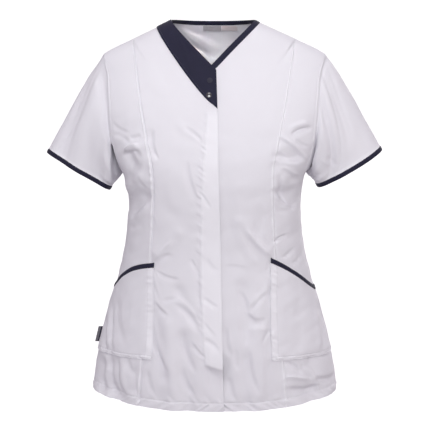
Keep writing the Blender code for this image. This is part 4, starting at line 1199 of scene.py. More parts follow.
def wall(name, strip, material, ply, outer=0.0, thickness=CLOTH, closed=False):
    """Cloth of a given thickness, whose outer skin lies a given distance out from a strip."""
    points, normals = strip.points, strip.normals
    rows, columns = points.shape[:2]
    outer, thickness = (np.broadcast_to(a, points.shape[:2])[..., None] for a in (outer, thickness))
    skins = np.stack([points + normals * outer, points + normals * (outer - thickness)])
    index = np.arange(2 * rows * columns).reshape(2, rows, columns)
    if closed:
        index = np.concatenate([index, index[:, :, :1]], axis=2)
    a, b, c, d = index[:, :-1, :-1], index[:, 1:, :-1], index[:, 1:, 1:], index[:, :-1, 1:]
    quads = np.stack([a, b, c, d], axis=-1)
    middle = (rows // 2, columns // 2)
    down, across = np.gradient(points, axis=0)[middle], np.gradient(points, axis=1)[middle]
    flipped = np.cross(down, across) @ normals[middle] < 0
    outside, inside = quads[0].reshape(-1, 4), quads[1].reshape(-1, 4)[:, ::-1]
    rims = [(index[:, 0, :], 1), (index[:, -1, :], -1)]
    if not closed:
        rims += [(index[:, :, 0], -1), (index[:, :, -1], 1)]
    edges = []
    for rim, way in rims:
        faces = np.stack([rim[0, :-1], rim[0, 1:], rim[1, 1:], rim[1, :-1]], axis=-1)
        edges.append(faces[:, ::way])
    faces = np.concatenate([outside, inside, *edges])
    if flipped:
        faces = faces[:, ::-1]
    uv = np.stack([strip.run, strip.down], axis=-1).reshape(-1, 2)
    uv, ply = np.tile(uv, (2, 1)), np.tile(ply.ravel(), 2)
    return add_mesh(name, skins.reshape(-1, 3), faces.tolist(), material, uv, ply)


def whole_strip(sewn):
    """A sewn panel read as one strip."""
    return Strip(sewn.points, sewn.normals, sewn.grid.run, sewn.grid.down)


def piece_of(sewn, name, rows, columns):
    """A panel of white cloth cut from a sewn grid between rows and columns."""
    cut = Strip(*(field[rows, columns] for field in whole_strip(sewn)))
    return wall(f"cloth_{name}", cut, WHITE, sewn.ply[rows, columns])


TO_HEM = len(POSITIONS)
CENTRE, ASIDE = slice(0, SEAM_COLUMN + 1), slice(SEAM_COLUMN + 1, None)
pieces = {}
for name, sewn, top, columns in (
    ("front_right_centre", sewn_right, "neckline", CENTRE),
    ("front_right_side", sewn_right, "panel top", ASIDE),
    ("front_left_centre", sewn_left, "binding edge", CENTRE),
    ("front_left_side", sewn_left, "panel top", ASIDE),
):
    pieces[name] = piece_of(sewn, name, slice(row_number(top), TO_HEM), columns)
BACK_ROWS = list(range(row_number("binding edge"), row_number("shoulder point"), 2))
BACK_ROWS += list(range(row_number("shoulder point"), TO_HEM - 1, 2)) + [TO_HEM - 1]
pieces["back"] = piece_of(sewn_back, "back", BACK_ROWS, slice(None))
print({name: len(piece.data.polygons) for name, piece in pieces.items()})

# %% [markdown]
# ## Sleeves
# A short sleeve leaves the armhole and swings down to its cuff. Its first ring is the panels' own edge,
# so the seam is closed, and a smooth curve carries each point of the ring to the cuff. Next to the
# armpit the cloth turns in behind the edge of the body, which makes the darkest shade of the garment.

# %% Size and folds of the sleeves
CUFF_CENTRES = {-1: (-0.2505, -0.004, -0.2468), 1: (0.2485, -0.004, -0.2385)}
CUFF_FRONT_RISE = {-1: 0.0037, 1: -0.0028}
CUFF_HALF_WIDTH = 0.068
CUFF_HALF_DEPTH = 0.045
SLEEVE_TILT = math.radians(30.5)
SHOULDER_LIFT = math.radians(7)
UNDERARM_LIFT = math.radians(9)
BINDING_WIDTH = 0.0083
SLEEVE_STEPS = 76
SLEEVE_CROWDS = 1.15
BAND_SHARES = (0.25, 0.5, 0.75, 1.0)
SLEEVE_WAVES = 0.4 * MM
WAVES_RADIUS = 0.07
WAVES_FULL_AT = 0.3
FOLD_FADE = 0.20

SleeveFold = namedtuple("SleeveFold", "turn0 along0 turn1 along1 spread height")
LEFT_SLEEVE_FOLDS = records(
    SleeveFold,
    (0.07, 0.10, 0.24, 0.60, 0.024, -0.0030),
    (0.12, 0.15, 0.30, 1.00, 0.032, 0.0026),
    (0.17, 0.10, 0.36, 0.85, 0.024, -0.0032),
    (0.24, 0.25, 0.38, 0.90, 0.032, 0.0022),
    (0.70, 0.20, 0.72, 0.95, 0.040, -0.0045),
    (0.84, 0.20, 0.86, 0.95, 0.036, 0.0035),
)
RIGHT_SLEEVE_FOLDS = records(
    SleeveFold,
    (0.00, 0.12, 0.15, 0.95, 0.028, -0.0034),
    (0.07, 0.20, 0.25, 1.00, 0.042, 0.0036),
    (0.24, 0.10, 0.36, 0.90, 0.034, -0.0018),
    (0.30, 0.45, 0.40, 0.95, 0.034, 0.0026),
    (0.68, 0.20, 0.72, 0.95, 0.040, -0.0045),
    (0.86, 0.15, 0.84, 0.95, 0.036, 0.0035),
)
SLEEVE_FOLDS = {1: LEFT_SLEEVE_FOLDS, -1: RIGHT_SLEEVE_FOLDS}
# The fold that turns in beside the armpit, and small creases, steeper at the armhole
SEAM_FADE = 0.035
LEFT_SMALL_FOLDS = records(
    SleeveFold,
    (0.420, 0.00, 0.43, 0.60, 0.040, -0.0060),
    (0.080, 0.10, 0.31, 0.85, 0.013, -0.0018),
    (0.040, 0.08, 0.21, 0.55, 0.013, -0.0014),
    (0.150, 0.05, 0.36, 0.60, 0.014, -0.0014),
    (0.36, 0.45, 0.30, 0.60, 0.010, 0.0012),
    (0.34, 0.60, 0.28, 0.72, 0.010, -0.0012),
    (0.62, 0.05, 0.64, 0.60, 0.016, -0.0020),
    (0.77, 0.15, 0.80, 0.75, 0.014, 0.0014),
)
RIGHT_SMALL_FOLDS = records(
    SleeveFold,
    (0.04, 0.20, 0.18, 1.00, 0.014, -0.0018),
    (0.13, 0.65, 0.11, 1.00, 0.010, -0.0012),
    (0.62, 0.05, 0.64, 0.60, 0.016, -0.0020),
    (0.78, 0.20, 0.80, 0.80, 0.014, 0.0014),
)
SMALL_FOLDS = {1: LEFT_SMALL_FOLDS, -1: RIGHT_SMALL_FOLDS}

# Beside the armhole seam the sleeve lies lower than the body, most where the arm's fold begins
SeamTrough = namedtuple("SeamTrough", "turn turn_spread away spread depth")
LEFT_TROUGHS = records(
    SeamTrough,
    (0.365, 0.080, 0.0050, 0.0058, 0.0125),
    (0.070, 0.050, 0.0035, 0.0035, 0.0035),
    (0.220, 0.120, 0.0060, 0.0060, 0.0022),
    (0.700, 0.160, 0.0060, 0.0060, 0.0025),
)
RIGHT_TROUGHS = records(
    SeamTrough,
    (0.370, 0.055, 0.0040, 0.0070, 0.0080),
    (0.230, 0.150, 0.0110, 0.0105, 0.0080),
    (0.700, 0.160, 0.0060, 0.0060, 0.0025),
)
SEAM_TROUGHS = {1: LEFT_TROUGHS, -1: RIGHT_TROUGHS}

# Below the fold line the underside of the sleeve lies further back, in the shade of its front
Recess = namedtuple("Recess", "turn0 turn1 soft end end_soft depth")
RECESSES = {
    -1: Recess(0.318, 0.480, 0.022, 0.62, 0.10, 0.026),
    1: Recess(0.405, 0.470, 0.020, 0.60, 0.10, 0.012),
}
RECESS_FADE = 0.16
# Before it turns back, the front of the sleeve lies flatter than a round tube would
FlatPart = namedtuple("FlatPart", "turn spread start cuff forward")
FLAT_PARTS = {
    -1: FlatPart(0.435, 0.085, 0.12, 0.40, 0.017),
    1: FlatPart(0.430, 0.080, 0.15, 0.40, 0.014),
}
FLAT_SOFT = 0.35
FLAT_CUFF_PART = 0.20
RING_FADE = 0.06
SEAM_WALL = 0.0025

print("sleeve folds:", {side: len(SLEEVE_FOLDS[side]) + len(SMALL_FOLDS[side]) for side in (-1, 1)})

# %% Sleeve grids
def fold_lift(fold, turn, along, seam_fade):
    """One fold of a sleeve over its grid, fading out at the armhole seam."""
    centre = fold.turn0 + (fold.turn1 - fold.turn0) * along
    away = (turn - centre + 0.5) % 1 - 0.5
    inside = smooth_step((along - fold.along0 + FOLD_FADE) / FOLD_FADE)
    inside = inside * smooth_step((fold.along1 - along + FOLD_FADE) / FOLD_FADE)
    return fold.height * bell(away, fold.spread) * inside * smooth_step(along / seam_fade)


def swing_rings(side, ring, turn):
    """Rings from the armhole's ring down to the cuff, how far along each lies, and the mean way there."""
    swing, forward = np.cos(2 * math.pi * turn), np.sin(2 * math.pi * turn)
    axis = np.array([side * math.sin(SLEEVE_TILT), 0, -math.cos(SLEEVE_TILT)])
    wide = np.array([side * math.cos(SLEEVE_TILT), 0, math.sin(SLEEVE_TILT)])
    cuff = CUFF_CENTRES[side] + wide * CUFF_HALF_WIDTH * swing[:, None]
    cuff -= axis * CUFF_FRONT_RISE[side] * forward[:, None]
    cuff[:, 1] -= CUFF_HALF_DEPTH * forward
    band = cuff - axis * BINDING_WIDTH
    leave = SLEEVE_TILT + np.where(swing > 0, SHOULDER_LIFT, UNDERARM_LIFT) * swing**2
    start = np.stack([side * np.sin(leave), np.zeros_like(leave), -np.cos(leave)], axis=-1)
    reach = np.linalg.norm(band - ring, axis=1, keepdims=True)
    steps = np.linspace(0, 1, SLEEVE_STEPS + 1) ** SLEEVE_CROWDS
    rings = [smooth_way(t, ring, reach * start, band, reach * axis) for t in steps]
    rings += [band + (cuff - band) * share for share in BAND_SHARES]
    along = np.append(steps, [1.0] * len(BAND_SHARES))[:, None]
    return np.array(rings), along, float(np.mean(reach))


def sleeve_lift(side, turn, along, outwards):
    """Folds, slow waves and the trough beside the seam, over a sleeve's grid."""
    lift = sum(fold_lift(fold, turn, along, FOLD_FADE) for fold in SLEEVE_FOLDS[side])
    lift = lift + sum(fold_lift(fold, turn, along, SEAM_FADE) for fold in SMALL_FOLDS[side])
    waves = slow_waves(np.cos(2 * math.pi * turn) * WAVES_RADIUS, outwards, 400 + side)
    lift = lift + SLEEVE_WAVES * waves * smooth_step(along / WAVES_FULL_AT)
    for trough in SEAM_TROUGHS[side]:
        round_it = bell((turn - trough.turn + 0.5) % 1 - 0.5, trough.turn_spread)
        beside = bell(outwards - trough.away, trough.spread) * smooth_step(outwards / SEAM_WALL)
        lift = lift - trough.depth * round_it * beside
    return lift


def sleeve_depth(side, turn, along):
    """How far back each point of a sleeve is moved, its front part coming forward instead."""
    recess, flat = RECESSES[side], FLAT_PARTS[side]
    border = recess.turn0 + (recess.turn1 - recess.turn0) * along
    back_by = smooth_step((turn - border) / recess.soft) * smooth_step((recess.end - turn) / recess.end_soft)
    back_by = back_by * smooth_step(along / SEAM_FADE) * smooth_step((1 - along) / RECESS_FADE)
    pushed = bell(turn - flat.turn, flat.spread) * smooth_step((along - flat.start) / FLAT_SOFT)
    near_cuff = smooth_step((along - 1 + FLAT_CUFF_PART) / FLAT_CUFF_PART)
    return recess.depth * back_by - flat.forward * pushed * (1 - (1 - flat.cuff) * near_cuff)


def closed_normals(points, side):
    around = np.roll(points, -1, axis=1) - np.roll(points, 1, axis=1)
    return unit(np.cross(around, np.gradient(points, axis=0)) * side)


def lay_sleeve(side, front, back):
    """A sleeve's grid: rings that run round from the shoulder by the front, from the armhole to the cuff."""
    rows = [i for i, p in enumerate(POSITIONS) if row_index("shoulder point") <= p <= row_index("armpit")]
    turns_back = rows[::-1][1:-1]
    edge = -1 if side > 0 else 0
    sewn_ring, ring = (
        np.concatenate([fronts.points[rows, -1], backs.points[turns_back, edge]])
        for fronts, backs in ((front, back), (front.grid, back.grid))
    )
    spans = np.linalg.norm(np.roll(ring, -1, axis=0) - ring, axis=1)
    run = np.concatenate([[0], np.cumsum(spans)])
    front_run = run[len(rows) - 1]
    on_back = 0.5 + (run - front_run) / (run[-1] - front_run) / 2
    turn = np.where(run < front_run, run / front_run / 2, on_back)[:-1]
    points, along, reach = swing_rings(side, ring, turn)
    turn = turn[None, :]
    lift = sleeve_lift(side, turn, along, along * reach)
    points = points + closed_normals(points, side) * lift[..., None]
    points[..., 1] += sleeve_depth(side, turn, along)
    points += (sewn_ring - ring) * (1 - smooth_step(along / RING_FADE))[..., None]
    around = np.broadcast_to(turn * run[-1], lift.shape)
    return Strip(points, closed_normals(points, side), around, lengths_along(points, 0))


def some_rings(sleeve, first, last):
    return Strip(*(field[first:last] for field in sleeve))


sleeves = {"right": lay_sleeve(-1, sewn_right, sewn_back), "left": lay_sleeve(1, sewn_left, sewn_back)}
CUFF_TURNING = 0.006
CUFF_TURNING_SOFT = 0.002
CUFF_TURNING_PLY = 0.8
for word, sleeve in sleeves.items():
    part = some_rings(sleeve, 0, SLEEVE_STEPS + 1)
    above_turning = part.down - part.down[-1] + CUFF_TURNING
    turned = CUFF_TURNING_PLY * smooth_step(above_turning / CUFF_TURNING_SOFT)
    pieces[f"sleeve_{word}"] = wall(f"cloth_sleeve_{word}", part, WHITE, turned, closed=True)
print({name: len(piece.data.polygons) for name, piece in pieces.items() if "sleeve" in name})

# %% [markdown]
# ## Strips cut from a panel
# A pocket, a lapel and a binding lie on the panels, so their grids are read off the panels' own grids: at
# each row, from one length along it to another. That way they follow every fold of the cloth below.

# %% Cutting strips
def cut_strip(plain, positions, first, last, shares):
    """A panel's surface at some row positions, and along each row at shares of the way from first to last."""
    grid = plain.grid
    at = np.interp(positions, grid.positions, np.arange(len(grid.positions)))
    low = np.minimum(at.astype(int), len(grid.positions) - 2)
    part = (at - low)[:, None, None]
    read = {}
    for row in range(low.min(), low.max() + 2):
        lengths = first[row] + (last[row] - first[row]) * shares
        read[row] = [read_along(f[row], grid.run[row], lengths) for f in (plain.points, plain.normals)]
    cut = [
        np.array([read[r][k] for r in low]) * (1 - part) + np.array([read[r + 1][k] for r in low]) * part
        for k in (0, 1)
    ]
    return measured(cut[0], unit(cut[1]))


def raised(strip, lift):
    """The strip moved out along its normals, with its map kept."""
    return strip._replace(points=strip.points + strip.normals * lift[..., None])


def square_to_row(strip, row):
    """How far each point lies from one row of its strip, measured square to that row."""
    away = np.abs(strip.down[row][None, :] - strip.down)
    near = 1 if row == 0 else -2
    down = unit(strip.points[near] - strip.points[row])
    across = unit(np.gradient(strip.points[row], axis=0))
    return away * np.sqrt(np.maximum(1 - np.sum(down * across, axis=-1) ** 2, 0.09))[None, :]


def rounded(share):
    """The soft crown of a narrow folded strip, 0 at its two edges and 1 along its middle."""
    return 1 - np.abs(2 * share - 1) ** 4


def between(first, last, steps):
    return np.linspace(row_index(first), row_index(last), steps + 1)


print("strip of the lapel has rows", between("neckline", "lapel edge", 4).round(2).tolist())

# %% [markdown]
# ## Patch pockets
# Each pocket starts beside the princess seam and runs into the side seam. Its inner edge and foot are
# turned under and stitched, so a paler strip with small cross puckers shows along the edge, and its
# slanting mouth is bound in dark cloth. The mouth stands a little off the panel, as hands leave it.

# %% Pockets
PLY_GAP = 0.0003
POCKET_TURNING = 0.0125
POCKET_WAVES = 0.25 * MM
TURNING_PROUD = 0.30 * MM
TURNING_DRAG = 1.25 * MM
BINDING_STARTS = 0.003
BINDING_ENDS = 0.55
FOOT_TURNING = 0.0065
FOOT_PROUD = 0.0005
POCKET_COLUMNS = np.concatenate([np.linspace(0, 0.13, 20)[:-1], np.linspace(0.13, 1, 48)])
POCKET_ROWS = np.concatenate([np.linspace(0, 0.92, 74)[:-1], np.linspace(0.92, 1, 18)])
MOUTH_STANDS = 0.0012
MOUTH_FADES = 0.035
STITCH_IN = 0.0016
BINDING_PROUD = 0.0004
BINDING_CROWN = 0.0006
CROWN_SUNK = BINDING_CROWN * 0.4
BINDING_WAVE = 0.12 * MM


def pocket_strip(plain, positions):
    """The panel's plain cloth under a pocket, from the pocket's inner edge to the side seam."""
    inner = plain.grid.seam - column_of(GUIDES, "pocket_inset", plain.grid.drop[:, SEAM_COLUMN])
    return cut_strip(plain, positions, inner, plain.grid.total, POCKET_COLUMNS)


def pocket_surface(strip, seed):
    """Lift and layers of the pocket's cloth, by its distance from the inner edge and from the foot."""
    in_from_edge, up_from_foot = strip.run, square_to_row(strip, -1)
    turned = smooth_step((POCKET_TURNING - in_from_edge) / (1.5 * MM))
    foot = smooth_step((FOOT_TURNING - up_from_foot) / (1.2 * MM))
    lift = TURNING_PROUD * turned + FOOT_PROUD * bell(up_from_foot, FOOT_TURNING)
    across, along = uneven(strip.down, 10 * MM, seed), uneven(strip.run, 12 * MM, seed + 1)
    for distance, wide, wave, deep in (
        (in_from_edge, POCKET_TURNING, across, 0.45),
        (up_from_foot, FOOT_TURNING, along, 0.70),
    ):
        rows = bell(distance - STITCH_IN, 1.0 * MM) + bell(distance - wide, 1.2 * MM)
        lift = lift - deep * MM * rows * (0.9 + 0.4 * wave)
        lift = lift + TURNING_DRAG * wave * bell(distance - 0.6 * wide, 0.6 * wide)
    lift = lift + POCKET_WAVES * slow_waves(strip.run, strip.down, seed + 2, shortest=0.02, longest=0.07)
    return lift, np.clip(1.3 * turned + 0.15 * foot, 0, 1)


def mouth_stand(strip, down):
    """How far the mouth stands off the panel, fading down the pocket and at both ends."""
    share = strip.run / strip.run[:, -1:]
    return MOUTH_STANDS * np.sin(math.pi * np.clip(share, 0, 1)) * (1 - smooth_step(down / MOUTH_FADES))


def crown_proud(crown):
    """How far a binding's outer skin stands off the cloth that it's laid on."""
    return BINDING_PROUD + crown - CROWN_SUNK


pocket_strips = {}
for word, plain, seed in (("right", plain_right, 500), ("left", plain_left, 520)):
    first, last = row_index("pocket binding"), row_index("pocket foot")
    strip = pocket_strip(plain, first + (last - first) * POCKET_ROWS)
    lift, ply = pocket_surface(strip, seed)
    binding = pocket_strip(plain, between("pocket mouth", "pocket binding", 8))
    width = binding.down[-1][None, :]
    lift = lift * smooth_step(strip.down / BINDING_STARTS) + mouth_stand(strip, strip.down + width)
    pocket_strips[word] = raised(strip, lift)
    pieces[f"pocket_{word}"] = wall(
        f"cloth_pocket_{word}", pocket_strips[word], WHITE, ply, outer=PLY_GAP + CLOTH
    )
    share = binding.down / np.maximum(width, TINY)
    ends = np.minimum(1, rounded(binding.run / binding.run[:, -1:]) + BINDING_ENDS)
    crown = BINDING_CROWN * rounded(share) * ends + BINDING_WAVE * uneven(binding.run, 5 * MM, seed + 3)
    binding = raised(binding, mouth_stand(binding, binding.down))
    pocket_strips[f"binding_{word}"] = raised(binding, crown)
    pieces[f"pocket_binding_{word}"] = wall(
        f"trim_pocket_binding_{word}", binding, NAVY, 0 * crown,
        outer=PLY_GAP + CLOTH + crown_proud(crown), thickness=CLOTH + crown_proud(crown),
    )
print({name: len(piece.data.polygons) for name, piece in pieces.items() if "pocket" in name})

# %% [markdown]
# ## Lapel and neck binding
# The lapel is the neck facing, turned out so that its dark side shows. It is two layers with a turned
# outer edge, topstitched about 4 mm in. Round the back neck and down the left front, a dark strip is
# folded over the raw edge, which makes it thicker and slightly crowned.

# %% Lapel and binding
LAPEL_STITCH_IN = 0.0040
LAPEL_THICK = 0.0013
LAPEL_EDGE_THIN = 0.45 * MM
LAPEL_STITCH_DEEP = 0.22 * MM
LAPEL_PUCKER = 0.14 * MM
LAPEL_WAVES = 0.22 * MM
NECK_WAVE = 0.10 * MM


def lapel_lift(strip):
    from_outer, from_neck = square_to_row(strip, -1), square_to_row(strip, 0)
    from_front = strip.run
    lift = 0
    for distance in (from_outer, from_front + 0.4 * MM, from_neck):
        lift = lift - LAPEL_EDGE_THIN * bell(distance, 0.8 * MM)
    from_stitch = from_outer - LAPEL_STITCH_IN
    lift = lift - LAPEL_STITCH_DEEP * bell(from_stitch, 0.7 * MM)
    lift = lift + LAPEL_PUCKER * uneven(strip.run, 7 * MM, 601) * bell(from_stitch, 4 * MM)
    return lift + LAPEL_WAVES * slow_waves(strip.run, strip.down, 602, shortest=0.02, longest=0.06)


lapel = cut_strip(
    plain_right, between("neckline", "lapel edge", 34), 0 * right_front.total, right_front.total,
    np.concatenate([np.linspace(0, 0.04, 7)[:-1], np.linspace(0.04, 1, 110)]),
)
lift = lapel_lift(lapel)
pieces["lapel"] = wall(
    "trim_lapel", lapel, NAVY, 0 * lift,
    outer=PLY_GAP + LAPEL_THICK + lift, thickness=LAPEL_THICK + lift * 0.5,
)


def folded_binding(name, strip, crown_wave, closed=False):
    """A dark strip folded over a raw edge, so that it stands as far off both sides of the cloth."""
    share = strip.down / np.maximum(strip.down[-1:], TINY)
    crown = BINDING_CROWN * rounded(share) + crown_wave
    proud = crown_proud(crown)
    return wall(f"trim_{name}", strip, NAVY, 0 * crown, proud, CLOTH + 2 * proud, closed)


rows = slice(0, row_number("binding edge") + 1)
parts = ((sewn_left, (rows, slice(0, SEAM_COLUMN))), (sewn_back, (rows, slice(None, None, -1))))
points, normals = (
    np.concatenate([getattr(sewn, field)[part] for sewn, part in parts], axis=1)
    for field in ("points", "normals")
)
neck = measured(points, normals)
wave = NECK_WAVE * uneven(neck.run, 6 * MM, 611)
pieces["neck_binding"] = folded_binding("neck_binding", neck, wave)

cuffs = {}
for word, sleeve in sleeves.items():
    band = some_rings(sleeve, SLEEVE_STEPS, None)
    cuffs[word] = band._replace(down=band.down - band.down[0])
    wave = BINDING_WAVE * uneven(band.run, 6 * MM, 621)
    pieces[f"cuff_binding_{word}"] = folded_binding(f"cuff_binding_{word}", cuffs[word], wave, closed=True)
print({name: len(piece.data.polygons) for name, piece in pieces.items() if "trim" in piece.name})

# %% [markdown]
# ## Labels and side tab
# Two bare satin labels hang from the seam under the back neck binding, and a short folded tab stands out
# of the wearer's right side seam. The labels' free ends curl a little, as woven tape does.

# %% Labels and tab
Label = namedtuple("Label", "name material x0 x1 height curl")
LABELS = (
    Label("neck_label", LABEL_GREY, -0.0203, 0.0136, 0.0086, 0.0012),
    Label("size_label", LABEL_PALE, 0.0147, 0.0437, 0.0080, 0.0009),
)
LABEL_OUT = -0.0020
LABEL_THICK = 0.0007
LABEL_ROWS = 14
LABEL_COLUMNS = 34
LABEL_WAVE = 0.15 * MM
LABEL_HEM_AT = 0.86
TAB = cloth_material(
    "tab_tape", (0.022, 0.021, 0.040), (0.150, 0.148, 0.170), 0.0005, 0.7, 0.1, 0.08 * MM, True, 0.1
)
TAB_DROP = 0.571
TAB_LENGTH = 0.029
TAB_WIDTH = 0.0098
TAB_SET_BACK = 0.0006
TAB_THICK = 0.0010
TAB_CROWN = TAB_THICK * 0.35
TAB_ROWS = 30
TAB_SWAY = 0.35 * MM
TAB_GREY_FROM = 0.45


def patch(x, drop, face):
    """Points and outward normals of the form over a small grid of places."""
    grid_x, grid_drop = np.meshgrid(x, drop)
    points = form_points(grid_x, grid_drop, face)
    sign = 1 if face == "front" else -1
    return points, unit(np.cross(np.gradient(points, axis=0), np.gradient(points, axis=1)) * sign)


def build_label(label):
    """A bare label that hangs under the neck binding, hemmed at its foot and a little curled."""
    top = row_at(row_index("binding edge"))["back"] + PLY_GAP
    places = np.linspace(label.x0, label.x1, LABEL_COLUMNS)
    strip = measured(*patch(places, np.linspace(top, top + label.height, LABEL_ROWS), "back"))
    share = np.linspace(0, 1, LABEL_ROWS)[:, None] + 0 * strip.run
    across = np.linspace(-1, 1, LABEL_COLUMNS)[None, :] + 0 * share
    curl = label.curl * share**2 * (0.6 + 0.4 * across**2) + LABEL_WAVE * np.sin(5 * across + 2)
    hem = smooth_step((share - LABEL_HEM_AT) / 0.04)
    return wall(f"trim_{label.name}", strip, label.material, hem, LABEL_OUT - curl, LABEL_THICK)


def build_side_tab():
    """The tab: dark near the seam and greyer outside, folded over at its outer edge."""
    drops = np.linspace(TAB_DROP, TAB_DROP + TAB_LENGTH, TAB_ROWS)
    shares = np.concatenate([np.linspace(0, 0.44, 6), np.linspace(0.46, 1, 8)])
    root = -column_of(SECTIONS, "half_width", drops)[:, None]
    out = PLY_GAP + (TAB_WIDTH - PLY_GAP) * shares[None, :] + 0 * root
    sway = TAB_SWAY * np.sin(np.linspace(0, 5, TAB_ROWS))[:, None] * shares[None, :]
    height = (NECK_POINT_Z - drops)[:, None] + 0 * out
    points = np.stack([root - out, TAB_SET_BACK + sway, height], axis=-1)
    normals = np.broadcast_to(np.array([0.0, -1.0, 0.0]), points.shape)
    crown = TAB_CROWN * (rounded(shares)[None, :] + 0 * root)
    grey = (shares > TAB_GREY_FROM)[None, :] + 0 * root
    strip = Strip(points, normals, out, drops[:, None] + 0 * out)
    return wall("trim_side_tab", strip, TAB, grey, crown, TAB_THICK + crown)


for label in LABELS:
    pieces[label.name] = build_label(label)
pieces["side_tab"] = build_side_tab()
print({name: len(pieces[name].data.polygons) for name in ("neck_label", "size_label", "side_tab")})

# %% [markdown]
# ## Press studs
# A press stud's cap is pressed from thin sheet and enamelled dark. Here it is a low dome with a faint
# step near its rim. A profile turned round its own axis makes it, with more sides than its solid has, so
# that its highlight stays round. The upper stud is dull in the photograph and the lower one glints.

# %% Press studs
STUD_RADIUS = 0.0052
STUD_SEAT = PLY_GAP + LAPEL_THICK + 0.0002
STUD_SIDES = 48
STUD_RIM_ANGLE = math.radians(60)
PEEL_SCALE = 1800.0
DUST_SCALE = 700.0
ENAMEL_INDEX = 1.9
Stud = namedtuple("Stud", "name x drop")
STUDS = (Stud("stud_upper", -0.0025, 0.104), Stud("stud_lower", -0.0045, 0.129))
StudPoint = namedtuple("StudPoint", "radius height")
STUD_PROFILE = records(
    StudPoint,
    (0.0, 1.80),
    (1.2, 1.74),
    (2.4, 1.48),
    (2.9, 1.28),
    (3.1, 1.20),
    (3.3, 1.19),
    (3.6, 1.16),
    (4.3, 0.96),
    (4.8, 0.70),
    (5.2, 0.36),
    (5.1, 0.10),
    (4.9, 0.00),
    (0.0, 0.00),
)


def enamel_material(name, clean, dusty, gloss, coat):
    """Dark enamel over pressed metal, with fine orange peel and a little dust."""
    material, tree, shader = new_material(name)
    coordinates = tree.nodes.new("ShaderNodeTexCoord").outputs["Object"]
    peel = noise_node(tree, coordinates, PEEL_SCALE, 2.0)
    dust = noise_node(tree, coordinates, DUST_SCALE, 3.0)
    colour = colour_mix(tree, range_node(tree, dust, 0.0, 0.5), clean, dusty)
    tree.links.new(colour, shader.inputs["Base Color"])
    tree.links.new(range_node(tree, dust, gloss, gloss + 0.12), shader.inputs["Roughness"])
    set_inputs(shader, Coat_Weight=coat, Coat_IOR=ENAMEL_INDEX, Coat_Roughness=gloss)
    relief_from(tree, shader, peel, 0.03 * MM)
    return material


ENAMEL = {
    "stud_upper": enamel_material(
        "stud_enamel_dull", (0.0120, 0.0118, 0.030), (0.026, 0.025, 0.044), 0.62, 0.0
    ),
    "stud_lower": enamel_material(
        "stud_enamel_bright", (0.006, 0.006, 0.014), (0.016, 0.015, 0.028), 0.10, 1.0
    ),
}


def build_stud(stud, material):
    bm = bmesh.new()
    profile = [bm.verts.new((p.radius * MM, 0, p.height * MM)) for p in STUD_PROFILE]
    edges = [bm.edges.new(pair) for pair in zip(profile, profile[1:])]
    bmesh.ops.spin(
        bm, geom=profile + edges, cent=(0, 0, 0), axis=(0, 0, 1), angle=2 * math.pi,
        steps=STUD_SIDES, use_merge=True,
    )
    bmesh.ops.remove_doubles(bm, verts=bm.verts, dist=MERGE)
    bmesh.ops.recalc_face_normals(bm, faces=bm.faces)
    mesh = bpy.data.meshes.new(f"trim_{stud.name}")
    bm.to_mesh(mesh)
    bm.free()
    span = STUD_RADIUS * np.linspace(-1, 1, 3)
    points, normals = patch(stud.x + span, stud.drop + span, "front")
    normal = Vector(normals[1, 1])
    place = Vector(points[1, 1]) + normal * STUD_SEAT
    mesh.transform(Matrix.Translation(place) @ normal.to_track_quat("Z", "Y").to_matrix().to_4x4())
    mesh.materials.append(material)
    mesh.shade_smooth()
    mesh.set_sharp_from_angle(angle=STUD_RIM_ANGLE)
    return put_in_scene(mesh.name, mesh)


for stud in STUDS:
    pieces[stud.name] = build_stud(stud, ENAMEL[stud.name])
print("studs:", len(STUDS), "with", STUD_SIDES, "sides")

# %% [markdown]
# ## Stitches
# A sewn line is a path on the cloth with a short thread lying along it every few millimetres. Geometry
# Nodes do that well: the path becomes a curve, is cut into equal steps, and each step gets one small
# thread, turned along the path and flat to the cloth. The paths are read off the grids made above.

# %% Stitch tree
STITCH_SIDES = 6
STITCH_RINGS = 5
STITCH_SEED = 7
STITCH_SHORTEST = 0.86
STITCH_LONGEST = 1.10


